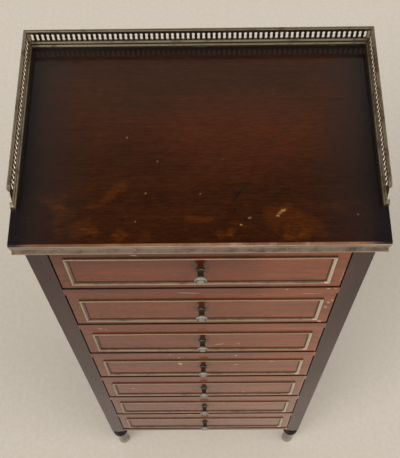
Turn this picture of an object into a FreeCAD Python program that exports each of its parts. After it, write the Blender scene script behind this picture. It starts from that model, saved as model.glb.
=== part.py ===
import FreeCAD, Part
import Sketcher
import math
import os

# Tall narrow chest of seven drawers with a three-quarter pierced brass gallery.
# Millimetres, +Z up, front towards -Y, origin on the floor under the middle of the whole.

doc = FreeCAD.newDocument("semainier")
dims = doc.addObject("Spreadsheet::Sheet", "dims")

DRIVING = [
    ("case_width", 450, "across the outer faces of the posts"),
    ("case_depth", 295, "front of the posts to the back of the case"),
    ("post_size", 28, "square corner post"),
    ("post_length", 1089, "post from its foot to the underside of the top"),
    ("leg_length", 147, "floor to the foot of the post"),
    ("rail_height", 22, "front rail between two drawers"),
    ("rail_depth", 40, "front rail from front to back"),
    ("top_rail_height", 15, "front rail above the top drawer"),
    ("bottom_rail_height", 15, "front rail under the lowest drawer"),
    ("bottom_rail_lift", 10, "foot of the post to the bottom rail"),
    ("tenon_length", 7, "rail tenon into the post"),
    ("tenon_height", 9, "rail tenon, upright"),
    ("tenon_depth", 20, "rail tenon, front to back"),
    ("tenon_set_back", 4, "front face to the tenon"),
    ("fit_gap", 0.15, "clearance round a glued joint"),
    ("bore_spare", 1, "depth of a bore past the end of its stud or spigot"),
    ("run_out", 1, "cutting shape past the face it leaves"),
    ("front_gap", 1.5, "gap round a drawer front"),
    ("front_recess", 1.2, "drawer front behind the face of the rails"),
    ("slide_gap", 0.3, "drawer side above its runner"),
    ("guide_gap", 0.7, "drawer side to its guide"),
    ("front_thickness", 20, "drawer front"),
    ("side_thickness", 10, "drawer side"),
    ("side_drop", 16, "drawer side lower than the front"),
    ("box_clearance", 11, "end of the drawer sides to the back panel"),
    ("tail_length", 12, "dovetail into the drawer front"),
    ("tail_root", 22, "dovetail height where it leaves the side"),
    ("tail_flare", 3, "widening of a dovetail on each edge"),
    ("bottom_thickness", 5, "drawer bottom"),
    ("bottom_lift", 12, "edge of the side to the drawer bottom"),
    ("groove_depth", 5, "groove for the drawer bottom"),
    ("box_back_thickness", 10, "drawer back"),
    ("box_back_inset", 4, "drawer back to the end of the sides"),
    ("box_back_drop", 6, "drawer back below the edge of the sides"),
    ("dado_depth", 3, "housing for the drawer back"),
    ("trim_width", 6, "brass strip on a drawer front"),
    ("trim_proud", 3, "brass strip above the wood"),
    ("trim_margin_side", 16, "brass frame to the side edge"),
    ("trim_margin_level", 19.5, "brass frame to the upper and lower edge, on average"),
    ("trim_drop", 2.5, "brass frame below the middle of the drawer front"),
    ("knob_length", 19.2, "knob in front of the drawer"),
    ("knob_radius", 8.3, "head of the knob"),
    ("knob_head", 8, "thickness of the head"),
    ("knob_neck_radius", 4, "neck of the knob"),
    ("knob_base_radius", 6.5, "ring against the wood"),
    ("knob_base_height", 2, "ring against the wood"),
    ("stud_radius", 2.5, "stud of the knob"),
    ("stud_length", 14, "stud in the drawer front"),
    ("panel_thickness", 10, "side panel"),
    ("panel_recess", 6, "side panel behind the face of the posts"),
    ("panel_groove", 7, "groove for a panel"),
    ("back_thickness", 8, "back panel"),
    ("back_recess", 6, "back panel inside the back of the posts"),
    ("runner_width", 26, "drawer runner"),
    ("runner_height", 14, "drawer runner"),
    ("guide_height", 18, "drawer guide above the runner"),
    ("stop_length", 24, "drawer stop, left to right"),
    ("stop_depth", 9, "drawer stop, front to back"),
    ("stop_height", 7, "drawer stop"),
    ("stop_offset", 120, "middle of the drawer to a stop"),
    ("top_overhang", 11, "top in front of and beside the case"),
    ("top_thickness", 28, "top board with its lip"),
    ("top_lip", 3.5, "wood above the brass edge"),
    ("lip_round", 2.4, "rounding of the lip"),
    ("edge_depth", 4, "brass edge, outside to inside"),
    ("edge_hollow", 0.8, "depth of the hollow in the brass edge"),
    ("edge_bead", 4.5, "height of the bead along each side of the brass edge"),
    ("edge_fillet", 2.8, "height of the small bead under the upper one"),
    ("edge_pin_head", 1.6, "head of a pin in the brass edge, radius"),
    ("edge_pin_dome", 0.7, "head of a pin in the brass edge, height"),
    ("edge_pin_radius", 0.8, "shank of a pin in the brass edge"),
    ("edge_pin_length", 9, "shank of a pin in the brass edge"),
    ("gallery_height", 33, "gallery above the top"),
    ("gallery_base_width", 7, "foot moulding of the gallery"),
    ("gallery_base_step", 5, "upper step of the foot moulding"),
    ("gallery_base_height", 10, "foot moulding of the gallery"),
    ("gallery_web", 1.8, "pierced band"),
    ("gallery_web_inset", 1.4, "outer face to the pierced band"),
    ("gallery_rail_width", 4.6, "top rail of the gallery"),
    ("gallery_rail_height", 6, "top rail of the gallery"),
    ("slot_radius", 2.1, "rounded end of a slot"),
    ("slot_waist", 1.45, "half width at the waist of a slot"),
    ("slot_land", 1.6, "metal above and below a slot"),
    ("slot_end", 10, "corner of the gallery to the first slot"),
    ("slot_ramp_land", 3, "metal between the ramp and the first slot"),
    ("slot_count_back", 65, "slots along the back"),
    ("slot_count_side", 32, "slots along each side"),
    ("gallery_set_back", 50, "front of the top to the end of the gallery"),
    ("ramp_length", 19, "ogee at the end of the gallery"),
    ("ramp_foot", 7, "height left at the end of the gallery"),
    ("pin_radius", 1, "gallery pin"),
    ("pin_in_top", 8, "gallery pin in the top board"),
    ("pin_in_gallery", 4, "gallery pin in the foot moulding"),
    ("leg_shaft_radius", 15, "widest part of the tapered shaft"),
    ("leg_ankle_radius", 11.5, "lower end of the tapered shaft"),
    ("leg_ring_radius", 18, "ring above the shaft"),
    ("leg_ring_height", 8, "ring above the shaft"),
    ("leg_ring_drop", 40, "foot of the post to the middle of the ring"),
    ("leg_neck_radius", 10.5, "hollow above the ring"),
    ("leg_neck_flare", 2, "widening of the hollow at its ends"),
    ("leg_shoulder", 1, "bevel between the shaft and the ring"),
    ("leg_head_radius", 13.6, "disc against the post"),
    ("leg_head_height", 8, "disc against the post"),
    ("leg_head_bevel", 0.5, "bevel under the disc"),
    ("spigot_radius", 5.5, "leg spigot in the post"),
    ("spigot_length", 24, "leg spigot in the post"),
    ("sabot_radius", 13, "foot of the brass shoe"),
    ("sabot_height", 24, "brass shoe"),
    ("sabot_floor", 4, "metal under the leg"),
    ("sabot_edge", 1, "bevel at the floor"),
    ("stub_radius", 9, "leg in the brass shoe"),
]
for row, (alias, value, note) in enumerate(DRIVING, 1):
    dims.set(f"A{row}", alias)
    dims.set(f"B{row}", str(value))
    dims.set(f"C{row}", note)
    dims.setAlias(f"B{row}", alias)
doc.recompute()

DRAWERS = 7
TAILS = 3
FRONT_PINS = 5
SIDE_PINS = 3


class Cells:
    """Writes the reference to a driving dimension, as used in an expression."""

    def __getattr__(self, alias):
        return "dims." + alias


d = Cells()
RING_OUT = f"({d.leg_ring_radius} - {d.post_size} / 2)"
KNOB_OUT = f"({d.knob_length} - {d.front_recess})"
FRONT_Y = f"({KNOB_OUT} - {d.case_depth} - {RING_OUT}) / 2"
BACK_Y = f"({KNOB_OUT} + {d.case_depth} - {RING_OUT}) / 2"
DRAWER_Y = f"({FRONT_Y} + {d.front_recess})"
OUTER_X = f"{d.case_width} / 2"
INNER_X = f"({d.case_width} / 2 - {d.post_size})"
CASE_Z = d.leg_length
FIRST_FLOOR = f"({d.bottom_rail_lift} + {d.bottom_rail_height})"
FRONT_W = f"({d.case_width} - 2 * {d.post_size} - 2 * {d.front_gap})"
SHARED_H = f"({d.post_length} - {FIRST_FLOOR} + {d.rail_height} - {d.top_rail_height})"
PITCH = f"({SHARED_H} / {DRAWERS})"
FRONT_H = f"({PITCH} - {d.rail_height} - 2 * {d.front_gap})"
SIDE_H = f"({FRONT_H} - {d.side_drop})"
BACK_DEEP = f"({d.back_recess} + {d.back_thickness})"
BOX_L = f"({d.case_depth} - {d.front_recess} - {d.front_thickness} - {BACK_DEEP} - {d.box_clearance})"
TOP_W = f"({d.case_width} + 2 * {d.top_overhang})"
TOP_D = f"({d.case_depth} + {d.top_overhang})"
TOP_Z = f"({d.leg_length} + {d.post_length})"
TABLE_Z = f"({d.leg_length} + {d.post_length} + {d.top_thickness})"
PARTS = []


def number(text):
    """The present value of an expression."""
    return float(dims.evalExpression(text))


def place(item, at, turn=None):
    """Sets an object's own placement: a turn, and a position that follows the dimensions."""
    if turn is not None:
        item.Placement = FreeCAD.Placement(FreeCAD.Vector(), turn)
    for axis, text in zip("xyz", at):
        item.setExpression(f"Placement.Base.{axis}", text)
    return item


def about(axis, angle):
    """A turn about a coordinate axis, in degrees."""
    unit = {"x": (1, 0, 0), "y": (0, 1, 0), "z": (0, 0, 1)}[axis]
    return FreeCAD.Rotation(FreeCAD.Vector(*unit), angle)


def box(name, size, at=("0", "0", "0")):
    """A block whose three sizes and lower corner follow the dimensions."""
    item = doc.addObject("Part::Box", name)
    for prop, text in zip(("Length", "Width", "Height"), size):
        item.setExpression(prop, text)
    return place(item, at)


def rod(name, radius, length, at, turn=None):
    """A cylinder, upright unless it is turned."""
    item = doc.addObject("Part::Cylinder", name)
    item.setExpression("Radius", radius)
    item.setExpression("Height", length)
    return place(item, at, turn)


def wedge(name, low, high, spread, at, turn=None):
    """A prism with a trapezium on one side.

    low and high give its box, spread the x and z limits where y is largest.
    """
    item = doc.addObject("Part::Wedge", name)
    for prop, text in zip(("Xmin", "Ymin", "Zmin"), low):
        item.setExpression(prop, text)
    for prop, text in zip(("Xmax", "Ymax", "Zmax"), high):
        item.setExpression(prop, text)
    for prop, text in zip(("X2min", "X2max", "Z2min", "Z2max"), spread):
        item.setExpression(prop, text)
    return place(item, at, turn)


def cut(name, base, tools):
    """One solid less several others."""
    item = doc.addObject("Part::Cut", name)
    item.Base = base
    if len(tools) == 1:
        item.Tool = tools[0]
    else:
        item.Tool = group(name + "_tools", tools)
    item.Refine = True
    return item


def fuse(name, pieces):
    """Several solids made one."""
    item = doc.addObject("Part::MultiFuse", name)
    item.Shapes = pieces
    item.Refine = True
    return item


def group(name, pieces):
    """Separate solids kept together in one object."""
    item = doc.addObject("Part::Compound", name)
    item.Links = pieces
    return item


def part(item, label):
    """Marks an object as a finished piece that gets a file of its own."""
    item.Label = label
    PARTS.append(item)
    return item


def outline(sketch, points, arcs=None):
    """Draws a closed outline in a sketch and ties every corner to the dimensions.

    Corners are pairs of expressions. arcs gives, for the edge that leaves a corner, a radius
    and the side of the edge on which its arc swells, +1 left and -1 right.
    """
    arcs = arcs or {}
    spots = [FreeCAD.Vector(number(x), number(y), 0) for x, y in points]
    count = len(spots)
    ends = []
    for i, start in enumerate(spots):
        end = spots[(i + 1) % count]
        if i in arcs:
            radius, side = arcs[i]
            chord = end - start
            reach = number(radius)
            drop = math.sqrt(max(reach * reach - chord.Length**2 / 4, 0))
            normal = FreeCAD.Vector(-chord.y, chord.x, 0).normalize()
            centre = (start + end) * 0.5 - normal * (drop * side)
            counter = (start, end) if side < 0 else (end, start)
            low, high = [math.atan2(spot.y - centre.y, spot.x - centre.x) for spot in counter]
            if high < low:
                high += 2 * math.pi
            circle = Part.Circle(centre, FreeCAD.Vector(0, 0, 1), reach)
            sketch.addGeometry(Part.ArcOfCircle(circle, low, high), False)
            ends.append((1, 2) if side < 0 else (2, 1))
        else:
            sketch.addGeometry(Part.LineSegment(start, end), False)
            ends.append((1, 2))
    for i in range(count):
        after = (i + 1) % count
        sketch.addConstraint(Sketcher.Constraint("Coincident", i, ends[i][1], after, ends[after][0]))
    for i, (x, y) in enumerate(points):
        for kind, text, axis in (("DistanceX", x, -2), ("DistanceY", y, -1)):
            if text == "0":
                sketch.addConstraint(Sketcher.Constraint("PointOnObject", i, ends[i][0], axis))
                continue
            at = sketch.addConstraint(
                Sketcher.Constraint(kind, -1, 1, i, ends[i][0], number(text))
            )
            sketch.setExpression(f"Constraints[{at}]", text)
    for i, (radius, side) in arcs.items():
        at = sketch.addConstraint(Sketcher.Constraint("Radius", i, number(radius)))
        sketch.setExpression(f"Constraints[{at}]", radius)
    return sketch


def turned(name, points, arcs=None):
    """A turned solid: a half section of radius and height, spun about the upright axis."""
    sketch = doc.addObject("Sketcher::SketchObject", name + "_section")
    sketch.Placement = FreeCAD.Placement(FreeCAD.Vector(), about("x", 90))
    outline(sketch, points, arcs)
    item = doc.addObject("Part::Revolution", name)
    item.Source = sketch
    item.Axis = FreeCAD.Vector(0, 0, 1)
    item.Base = FreeCAD.Vector(0, 0, 0)
    item.Angle = 360
    item.Solid = True
    return item


def plane_sketch(body, role, name):
    """A sketch on one of a body's own origin planes."""
    sketch = body.newObject("Sketcher::SketchObject", name)
    plane = [f for f in body.Origin.OriginFeatures if f.Role == role][0]
    sketch.AttachmentSupport = [(plane, "")]
    sketch.MapMode = "FlatFace"
    return sketch


def moulding(name, section, length, arcs=None):
    """A straight length of moulding along x; its section is drawn in y and z, y inwards."""
    body = doc.addObject("PartDesign::Body", name)
    sketch = plane_sketch(body, "YZ_Plane", name + "_section")
    outline(sketch, section, arcs)
    pad = body.newObject("PartDesign::Pad", name + "_pad")
    pad.Profile = sketch
    pad.setExpression("Length", length)
    sketch.Visibility = False
    doc.recompute()
    return body


def pocket(body, role, name, points, arcs=None):
    """Cuts a shape right through a body, both ways from one of its origin planes."""
    sketch = plane_sketch(body, role, name + "_shape")
    outline(sketch, points, arcs)
    hole = body.newObject("PartDesign::Pocket", name)
    hole.Profile = sketch
    hole.Type = "ThroughAll"
    hole.Midplane = True
    doc.recompute()
    return hole


def mitre(body, end, length, width):
    """Cuts an end at 45 degrees so that the outer face stays the longest."""
    reach = f"({width} + {d.run_out})"
    if end == "low":
        corners = [("0", "0"), (reach, reach), ("0", reach)]
    else:
        corners = [(length, "0"), (length, reach), (f"{length} - {reach}", reach)]
    return pocket(body, "XY_Plane", f"{body.Name}_mitre_{end}", corners)


# Corner posts: mortises for the front rails, grooves for the panels, a bore for the leg.
def rail_floor(index):
    """Height of the underside of a front rail above the foot of the posts."""
    if index == 0:
        return d.bottom_rail_lift
    return f"({FIRST_FLOOR} + {index} * {PITCH} - {d.rail_height})"


def rail_size(index):
    """Height of a front rail."""
    if index == 0:
        return d.bottom_rail_height
    if index == DRAWERS:
        return d.top_rail_height
    return d.rail_height


def post(side, row):
    """One corner post, modelled from its outer front corner and placed in the case."""
    name = f"post_{row}_{side}"

    def across(start, size):
        """x of a cut that begins at a distance from the outer face."""
        if side == "left":
            return start
        return f"{d.post_size} - ({start}) - ({size})"

    tools = []
    bore = f"{d.spigot_radius} + {d.fit_gap}"
    middle = f"{d.post_size} / 2"
    tools.append(rod(f"{name}_bore", bore, f"{d.spigot_length} + {d.bore_spare}", (middle, middle, "0")))
    slot = f"{d.panel_thickness} + 2 * {d.fit_gap}"
    slot_x = across(f"{d.panel_recess} - {d.fit_gap}", slot)
    slot_y = f"{d.post_size} - {d.panel_groove}" if row == "front" else "0"
    height = f"{d.post_length} - {d.bottom_rail_lift}"
    tools.append(
        box(f"{name}_side_groove", (slot, d.panel_groove, height), (slot_x, slot_y, d.bottom_rail_lift))
    )
    if row == "back":
        slot = f"{d.back_thickness} + 2 * {d.fit_gap}"
        slot_x = across(f"{d.post_size} - {d.panel_groove}", d.panel_groove)
        slot_y = f"{d.post_size} - {d.back_recess} - {d.back_thickness} - {d.fit_gap}"
        tools.append(
            box(f"{name}_back_groove", (d.panel_groove, slot, height), (slot_x, slot_y, d.bottom_rail_lift))
        )
    else:
        deep = f"({d.tenon_length} + {d.fit_gap})"
        tall = f"({d.tenon_height} + 2 * {d.fit_gap})"
        wide = f"({d.tenon_depth} + 2 * {d.fit_gap})"
        for index in range(DRAWERS + 1):
            x = across(f"{d.post_size} - {deep}", deep)
            y = f"{d.tenon_set_back} - {d.fit_gap}"
            z = f"{rail_floor(index)} + ({rail_size(index)} - {tall}) / 2"
            tools.append(box(f"{name}_mortise_{index}", (deep, wide, tall), (x, y, z)))
    block = box(f"{name}_block", (d.post_size, d.post_size, d.post_length))
    item = cut(name + "_cut", block, tools)
    x = f"-{OUTER_X}" if side == "left" else f"{OUTER_X} - {d.post_size}"
    y = FRONT_Y if row == "front" else f"{BACK_Y} - {d.post_size}"
    place(item, (x, y, CASE_Z))
    part(item, name)


# Turned leg and its brass shoe, both drawn from the floor up.
RING_Z = f"({d.leg_length} - {d.leg_ring_drop})"
RING_BED = f"({d.leg_ring_radius} - 0.268 * {d.leg_ring_height})"
HEAD_Z = f"({d.leg_length} - {d.leg_head_height})"
NECK_R = f"({d.leg_neck_radius} + {d.leg_neck_flare})"
NECK_LOW = f"({RING_Z} + 0.7 * {d.leg_ring_height})"
NECK_TOP = f"({HEAD_Z} - {d.leg_head_bevel})"
NECK_HALF = f"(({NECK_TOP} - {NECK_LOW}) / 2)"
LEG_SECTION = [
    ("0", f"{d.sabot_floor} + {d.fit_gap}"),
    (d.stub_radius, f"{d.sabot_floor} + {d.fit_gap}"),
    (d.stub_radius, f"{d.sabot_height} + {d.fit_gap}"),
    (d.leg_ankle_radius, f"{d.sabot_height} + {d.fit_gap}"),
    (d.leg_shaft_radius, f"{RING_Z} - 0.5 * {d.leg_ring_height} - {d.leg_shoulder}"),
    (RING_BED, f"{RING_Z} - 0.5 * {d.leg_ring_height}"),
    (RING_BED, f"{RING_Z} + 0.5 * {d.leg_ring_height}"),
    (NECK_R, NECK_LOW),
    (NECK_R, NECK_TOP),
    (d.leg_head_radius, HEAD_Z),
    (d.leg_head_radius, d.leg_length),
    (d.spigot_radius, d.leg_length),
    (d.spigot_radius, f"{d.leg_length} + {d.spigot_length}"),
    ("0", f"{d.leg_length} + {d.spigot_length}"),
]
LEG_ARCS = {
    5: (f"0.6 * {d.leg_ring_height}", -1),
    7: (f"({NECK_HALF}^2 + {d.leg_neck_flare}^2) / (2 * {d.leg_neck_flare})", 1),
}
SABOT_SECTION = [
    ("0", "0"),
    (f"{d.sabot_radius} - {d.sabot_edge}", "0"),
    (d.sabot_radius, f"1.5 * {d.sabot_edge}"),
    (d.sabot_radius, f"0.3 * {d.sabot_height}"),
    (d.leg_ankle_radius, f"0.45 * {d.sabot_height}"),
    (d.leg_ankle_radius, d.sabot_height),
    (f"{d.stub_radius} + {d.fit_gap}", d.sabot_height),
    (f"{d.stub_radius} + {d.fit_gap}", d.sabot_floor),
    ("0", d.sabot_floor),
]
sabots = []
for side, row in (("left", "front"), ("right", "front"), ("left", "back"), ("right", "back")):
    post(side, row)
    sign = "-" if side == "left" else ""
    leg_x = f"{sign}({OUTER_X} - {d.post_size} / 2)"
    leg_y = f"{FRONT_Y} + {d.post_size} / 2" if row == "front" else f"{BACK_Y} - {d.post_size} / 2"
    leg = turned(f"leg_{row}_{side}_turning", LEG_SECTION, LEG_ARCS)
    part(place(leg, (leg_x, leg_y, "0")), f"leg_{row}_{side}")
    shoe = turned(f"sabot_{row}_{side}", SABOT_SECTION)
    sabots.append(place(shoe, (leg_x, leg_y, "0")))
part(group("sabot_set", sabots), "leg_sabots")


# Front rails, tenoned into the posts.
def rail(index):
    """A front rail with a tenon at each end, modelled about its middle."""
    tall = rail_size(index)
    z = f"({tall} - {d.tenon_height}) / 2"
    bar = box(f"rail_{index}_bar", (f"2 * {INNER_X}", d.rail_depth, tall), (f"-{INNER_X}", "0", "0"))
    tenon = (f"2 * {INNER_X} + 2 * {d.tenon_length}", d.tenon_depth, d.tenon_height)
    at = (f"-{INNER_X} - {d.tenon_length}", d.tenon_set_back, z)
    item = fuse(f"rail_{index}", [bar, box(f"rail_{index}_tenons", tenon, at)])
    return place(item, ("0", FRONT_Y, f"{CASE_Z} + {rail_floor(index)}"))


part(rail(0), "bottom_rail")
part(rail(DRAWERS), "top_rail")
part(group("rail_set", [rail(i) for i in range(1, DRAWERS)]), "drawer_rails")

# Panels in the grooves of the posts.
PANEL_H = f"{d.post_length} - {d.bottom_rail_lift}"
TONGUE = f"({d.panel_groove} - {d.fit_gap})"
span = f"{d.case_depth} - 2 * {d.post_size} + 2 * {TONGUE}"
for side in ("left", "right"):
    panel = box(f"panel_{side}", (d.panel_thickness, span, PANEL_H))
    x = f"-{OUTER_X} + {d.panel_recess}"
    if side == "right":
        x = f"{OUTER_X} - {d.panel_recess} - {d.panel_thickness}"
    y = f"{FRONT_Y} + {d.post_size} - {TONGUE}"
    part(place(panel, (x, y, f"{CASE_Z} + {d.bottom_rail_lift}")), f"side_panel_{side}")
panel = box("panel_back", (f"2 * {INNER_X} + 2 * {TONGUE}", d.back_thickness, PANEL_H))
y = f"{BACK_Y} - {d.back_recess} - {d.back_thickness}"
part(
    place(panel, (f"-{INNER_X} - {TONGUE}", y, f"{CASE_Z} + {d.bottom_rail_lift}")), "back_panel"
)

# Runners, guides and stops for each drawer.
WALL_X = f"({OUTER_X} - {d.panel_recess} - {d.panel_thickness})"
RUN_Y = f"({FRONT_Y} + {d.rail_depth})"
RUN_L = f"({d.case_depth} - {d.rail_depth} - {d.post_size})"
GUIDE_X = f"({FRONT_W} / 2 + {d.guide_gap})"
runners = []
guides = []
stops = []
for index in range(DRAWERS):
    floor = f"{CASE_Z} + {FIRST_FLOOR} + {index} * {PITCH}"
    for side in ("left", "right"):
        left = side == "left"
        x = f"-{WALL_X}" if left else f"{WALL_X} - {d.runner_width}"
        size = (d.runner_width, RUN_L, d.runner_height)
        runners.append(box(f"runner_{index}_{side}", size, (x, RUN_Y, f"{floor} - {d.runner_height}")))
        x = f"-{WALL_X}" if left else GUIDE_X
        size = (f"{WALL_X} - {GUIDE_X}", RUN_L, d.guide_height)
        guides.append(box(f"guide_{index}_{side}", size, (x, RUN_Y, floor)))
        sign = "-" if left else ""
        x = f"{sign}{d.stop_offset} - {d.stop_length} / 2"
        y = f"{DRAWER_Y} + {d.front_thickness} + {d.slide_gap}"
        size = (d.stop_length, d.stop_depth, d.stop_height)
        stops.append(box(f"stop_{index}_{side}", size, (x, y, floor)))
part(group("runner_set", runners), "drawer_runners")
part(group("guide_set", guides), "drawer_guides")
part(group("stop_set", stops), "drawer_stops")

# Drawers. Local origin: middle of the front, on its face and its lower edge.
SIDE_Z = f"({d.slide_gap} - {d.front_gap})"
SIDE_X = f"({FRONT_W} / 2 - {d.side_thickness})"
SLAB_Z = f"({SIDE_Z} + {d.bottom_lift})"
BOX_END = f"({d.front_thickness} + {BOX_L})"
BACK_AT = f"({BOX_END} - {d.box_back_inset} - {d.box_back_thickness})"
KNOB_TIP = f"({d.stud_length} + {d.knob_length})"
KNOB_SECTION = [
    ("0", "0"),
    (d.stud_radius, "0"),
    (d.stud_radius, d.stud_length),
    (d.knob_base_radius, d.stud_length),
    (f"0.78 * {d.knob_base_radius}", f"{d.stud_length} + {d.knob_base_height}"),
    (f"1.3 * {d.knob_neck_radius}", f"{d.stud_length} + {d.knob_base_height}"),
    (f"1.4 * {d.knob_neck_radius}", f"{KNOB_TIP} - {d.knob_head}"),
    (d.knob_radius, f"{KNOB_TIP} - 0.75 * {d.knob_head}"),
    (d.knob_radius, f"{KNOB_TIP} - 0.3 * {d.knob_head}"),
    (f"0.8 * {d.knob_radius}", f"{KNOB_TIP} - 0.18 * {d.knob_head}"),
    (f"0.72 * {d.knob_radius}", f"{KNOB_TIP} - 0.3 * {d.knob_head}"),
    ("0", KNOB_TIP),
]
KNOB_ARCS = {
    3: (f"1.2 * {d.knob_base_height}", -1),
    5: (f"1.1 * ({d.knob_length} - {d.knob_head} - {d.knob_base_height})", 1),
    7: (f"0.4 * {d.knob_head}", -1),
    10: (f"((0.72 * {d.knob_radius})^2 + (0.3 * {d.knob_head})^2) / (0.6 * {d.knob_head})", -1),
}
# Brass strip of a frame, from its outer to its inner side: rounded crest, cove and low fillet.
STRIP_COVE = f"sqrt((0.35 * {d.trim_width})^2 + (0.45 * {d.trim_proud})^2)"
STRIP_SECTION = [
    ("0", "0"),
    (d.trim_width, "0"),
    (d.trim_width, f"0.4 * {d.trim_proud}"),
    (f"0.8 * {d.trim_width}", f"0.4 * {d.trim_proud}"),
    (f"0.45 * {d.trim_width}", f"0.85 * {d.trim_proud}"),
    ("0", f"0.85 * {d.trim_proud}"),
]
STRIP_ARCS = {
    3: (f"0.9 * {STRIP_COVE}", 1),
    4: (f"((0.225 * {d.trim_width})^2 + (0.15 * {d.trim_proud})^2) / (0.3 * {d.trim_proud})", -1),
}


def tail(name, side, index, slack):
    """One dovetail, widening towards the face of the drawer; slack makes it a socket."""
    middle = f"({SIDE_Z} + {SIDE_H} * {index + 0.5} / {TAILS})"
    root = f"({d.tail_root} / 2 + {slack})"
    tip = f"({root} + {d.tail_flare})"
    depth = f"({d.tail_length} + {slack})"
    wide = f"({d.side_thickness} + {slack})"
    x = f"-{FRONT_W} / 2" if side == "left" else f"{SIDE_X} - {slack}"
    return wedge(
        name,
        ("0", "0", f"{middle} - {tip}"),
        (wide, depth, f"{middle} + {tip}"),
        ("0", wide, f"{middle} - {root}", f"{middle} + {root}"),
        (x, f"{d.front_thickness} - {depth}", "0"),
    )


def drawer(number_from_top):
    """One drawer: front, dovetailed box, bottom, brass frame and knob."""
    n = number_from_top
    name = f"drawer_{n}"
    level = f"{CASE_Z} + {FIRST_FLOOR} + {DRAWERS - n} * {PITCH} + {d.front_gap}"
    home = ("0", DRAWER_Y, level)

    board = box(f"{name}_board", (FRONT_W, d.front_thickness, FRONT_H), (f"-{FRONT_W} / 2", "0", "0"))
    bore = rod(
        f"{name}_bore",
        f"{d.stud_radius} + {d.fit_gap}",
        f"{d.stud_length} + {d.bore_spare}",
        ("0", f"{d.stud_length} + {d.bore_spare}", f"{FRONT_H} / 2"),
        about("x", 90),
    )
    sockets = [
        tail(f"{name}_socket_{side}_{i}", side, i, d.fit_gap)
        for side in ("left", "right")
        for i in range(TAILS)
    ]
    part(place(cut(f"{name}_face", board, [bore] + sockets), home), f"{name}_front")

    walls = []
    for side in ("left", "right"):
        left = side == "left"
        x = f"-{FRONT_W} / 2" if left else SIDE_X
        size = (d.side_thickness, BOX_L, SIDE_H)
        wall = box(f"{name}_wall_{side}", size, (x, d.front_thickness, SIDE_Z))
        tails = [tail(f"{name}_tail_{side}_{i}", side, i, "0") for i in range(TAILS)]
        x = f"-{SIDE_X} - {d.groove_depth}" if left else SIDE_X
        size = (d.groove_depth, BOX_L, f"{d.bottom_thickness} + 2 * {d.fit_gap}")
        groove = box(f"{name}_groove_{side}", size, (x, d.front_thickness, f"{SLAB_Z} - {d.fit_gap}"))
        x = f"-{SIDE_X} - {d.dado_depth}" if left else SIDE_X
        size = (d.dado_depth, f"{d.box_back_thickness} + 2 * {d.fit_gap}", SIDE_H)
        dado = box(f"{name}_dado_{side}", size, (x, f"{BACK_AT} - {d.fit_gap}", SLAB_Z))
        walls.append(cut(f"{name}_side_{side}", fuse(f"{name}_blank_{side}", [wall] + tails), [groove, dado]))
    reach = f"({SIDE_X} + {d.dado_depth} - {d.fit_gap})"
    low = f"({SLAB_Z} + {d.bottom_thickness} + {d.fit_gap})"
    tall = f"{SIDE_Z} + {SIDE_H} - {d.box_back_drop} - {low}"
    walls.append(
        box(f"{name}_rear", (f"2 * {reach}", d.box_back_thickness, tall), (f"-{reach}", BACK_AT, low))
    )
    part(place(group(f"{name}_walls", walls), home), f"{name}_box")

    reach = f"({SIDE_X} + {d.groove_depth} - {d.fit_gap})"
    size = (f"2 * {reach}", f"{BOX_L} - {d.fit_gap}", d.bottom_thickness)
    slab = box(f"{name}_slab", size)
    x, y, z = f"-{reach}", f"{DRAWER_Y} + {d.front_thickness} + {d.fit_gap}", f"{level} + {SLAB_Z}"
    part(place(slab, (x, y, z)), f"{name}_bottom")

    wide = f"({FRONT_W} - 2 * {d.trim_margin_side})"
    high = f"({FRONT_H} - 2 * {d.trim_margin_level})"
    low = f"{d.trim_margin_level} - {d.trim_drop}"
    up = f"{low} + {high}"
    strips = []
    for i, (length, x, z) in enumerate(
        (
            (wide, f"-{wide} / 2", low),
            (high, f"-{wide} / 2", up),
            (wide, f"{wide} / 2", up),
            (high, f"{wide} / 2", low),
        )
    ):
        strip = moulding(f"{name}_strip_{i}", STRIP_SECTION, length, STRIP_ARCS)
        for end in ("low", "high"):
            mitre(strip, end, length, d.trim_width)
        strips.append(place(strip, (x, "0", z), about("y", 90 * i) * about("x", 90)))
    part(place(group(f"{name}_frame", strips), home), f"{name}_trim")

    pull = turned(f"{name}_pull", KNOB_SECTION, KNOB_ARCS)
    place(pull, ("0", f"{DRAWER_Y} + {d.stud_length}", f"{level} + {FRONT_H} / 2"), about("x", 90))
    part(pull, f"{name}_knob")


for n in range(1, DRAWERS + 1):
    drawer(n)

# Gallery pins, each half in the top board and half in the foot of the gallery.
PIN_IN = f"({d.edge_depth} + {d.pin_radius} + 2 * {d.fit_gap})"
EDGE_X = f"({TOP_W} / 2 - {PIN_IN})"
EDGE_Y = f"({BACK_Y} - {PIN_IN})"
SIDE_RUN = f"({TOP_D} - {d.gallery_set_back})"
pin_spots = [(f"{k} * {TOP_W} / 3", EDGE_Y) for k in (-1, 0, 1)]
pin_spots += [(f"{s} * {EDGE_X}", f"{BACK_Y} - {k} * {SIDE_RUN}") for s in (-1, 1) for k in (0.35, 0.85)]


def pins(name, slack, wanted):
    """Pins, or with slack the holes for them, at some of the places round the gallery."""
    low = f"({d.pin_in_top} + {slack})"
    return [
        rod(
            f"{name}_{k}",
            f"{d.pin_radius} + {slack}",
            f"{low} + {d.pin_in_gallery} + {slack}",
            (pin_spots[k][0], pin_spots[k][1], f"{TABLE_Z} - {low}"),
        )
        for k in wanted
    ]


part(group("pin_set", pins("pin", "0", range(7))), "gallery_pins")

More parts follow.
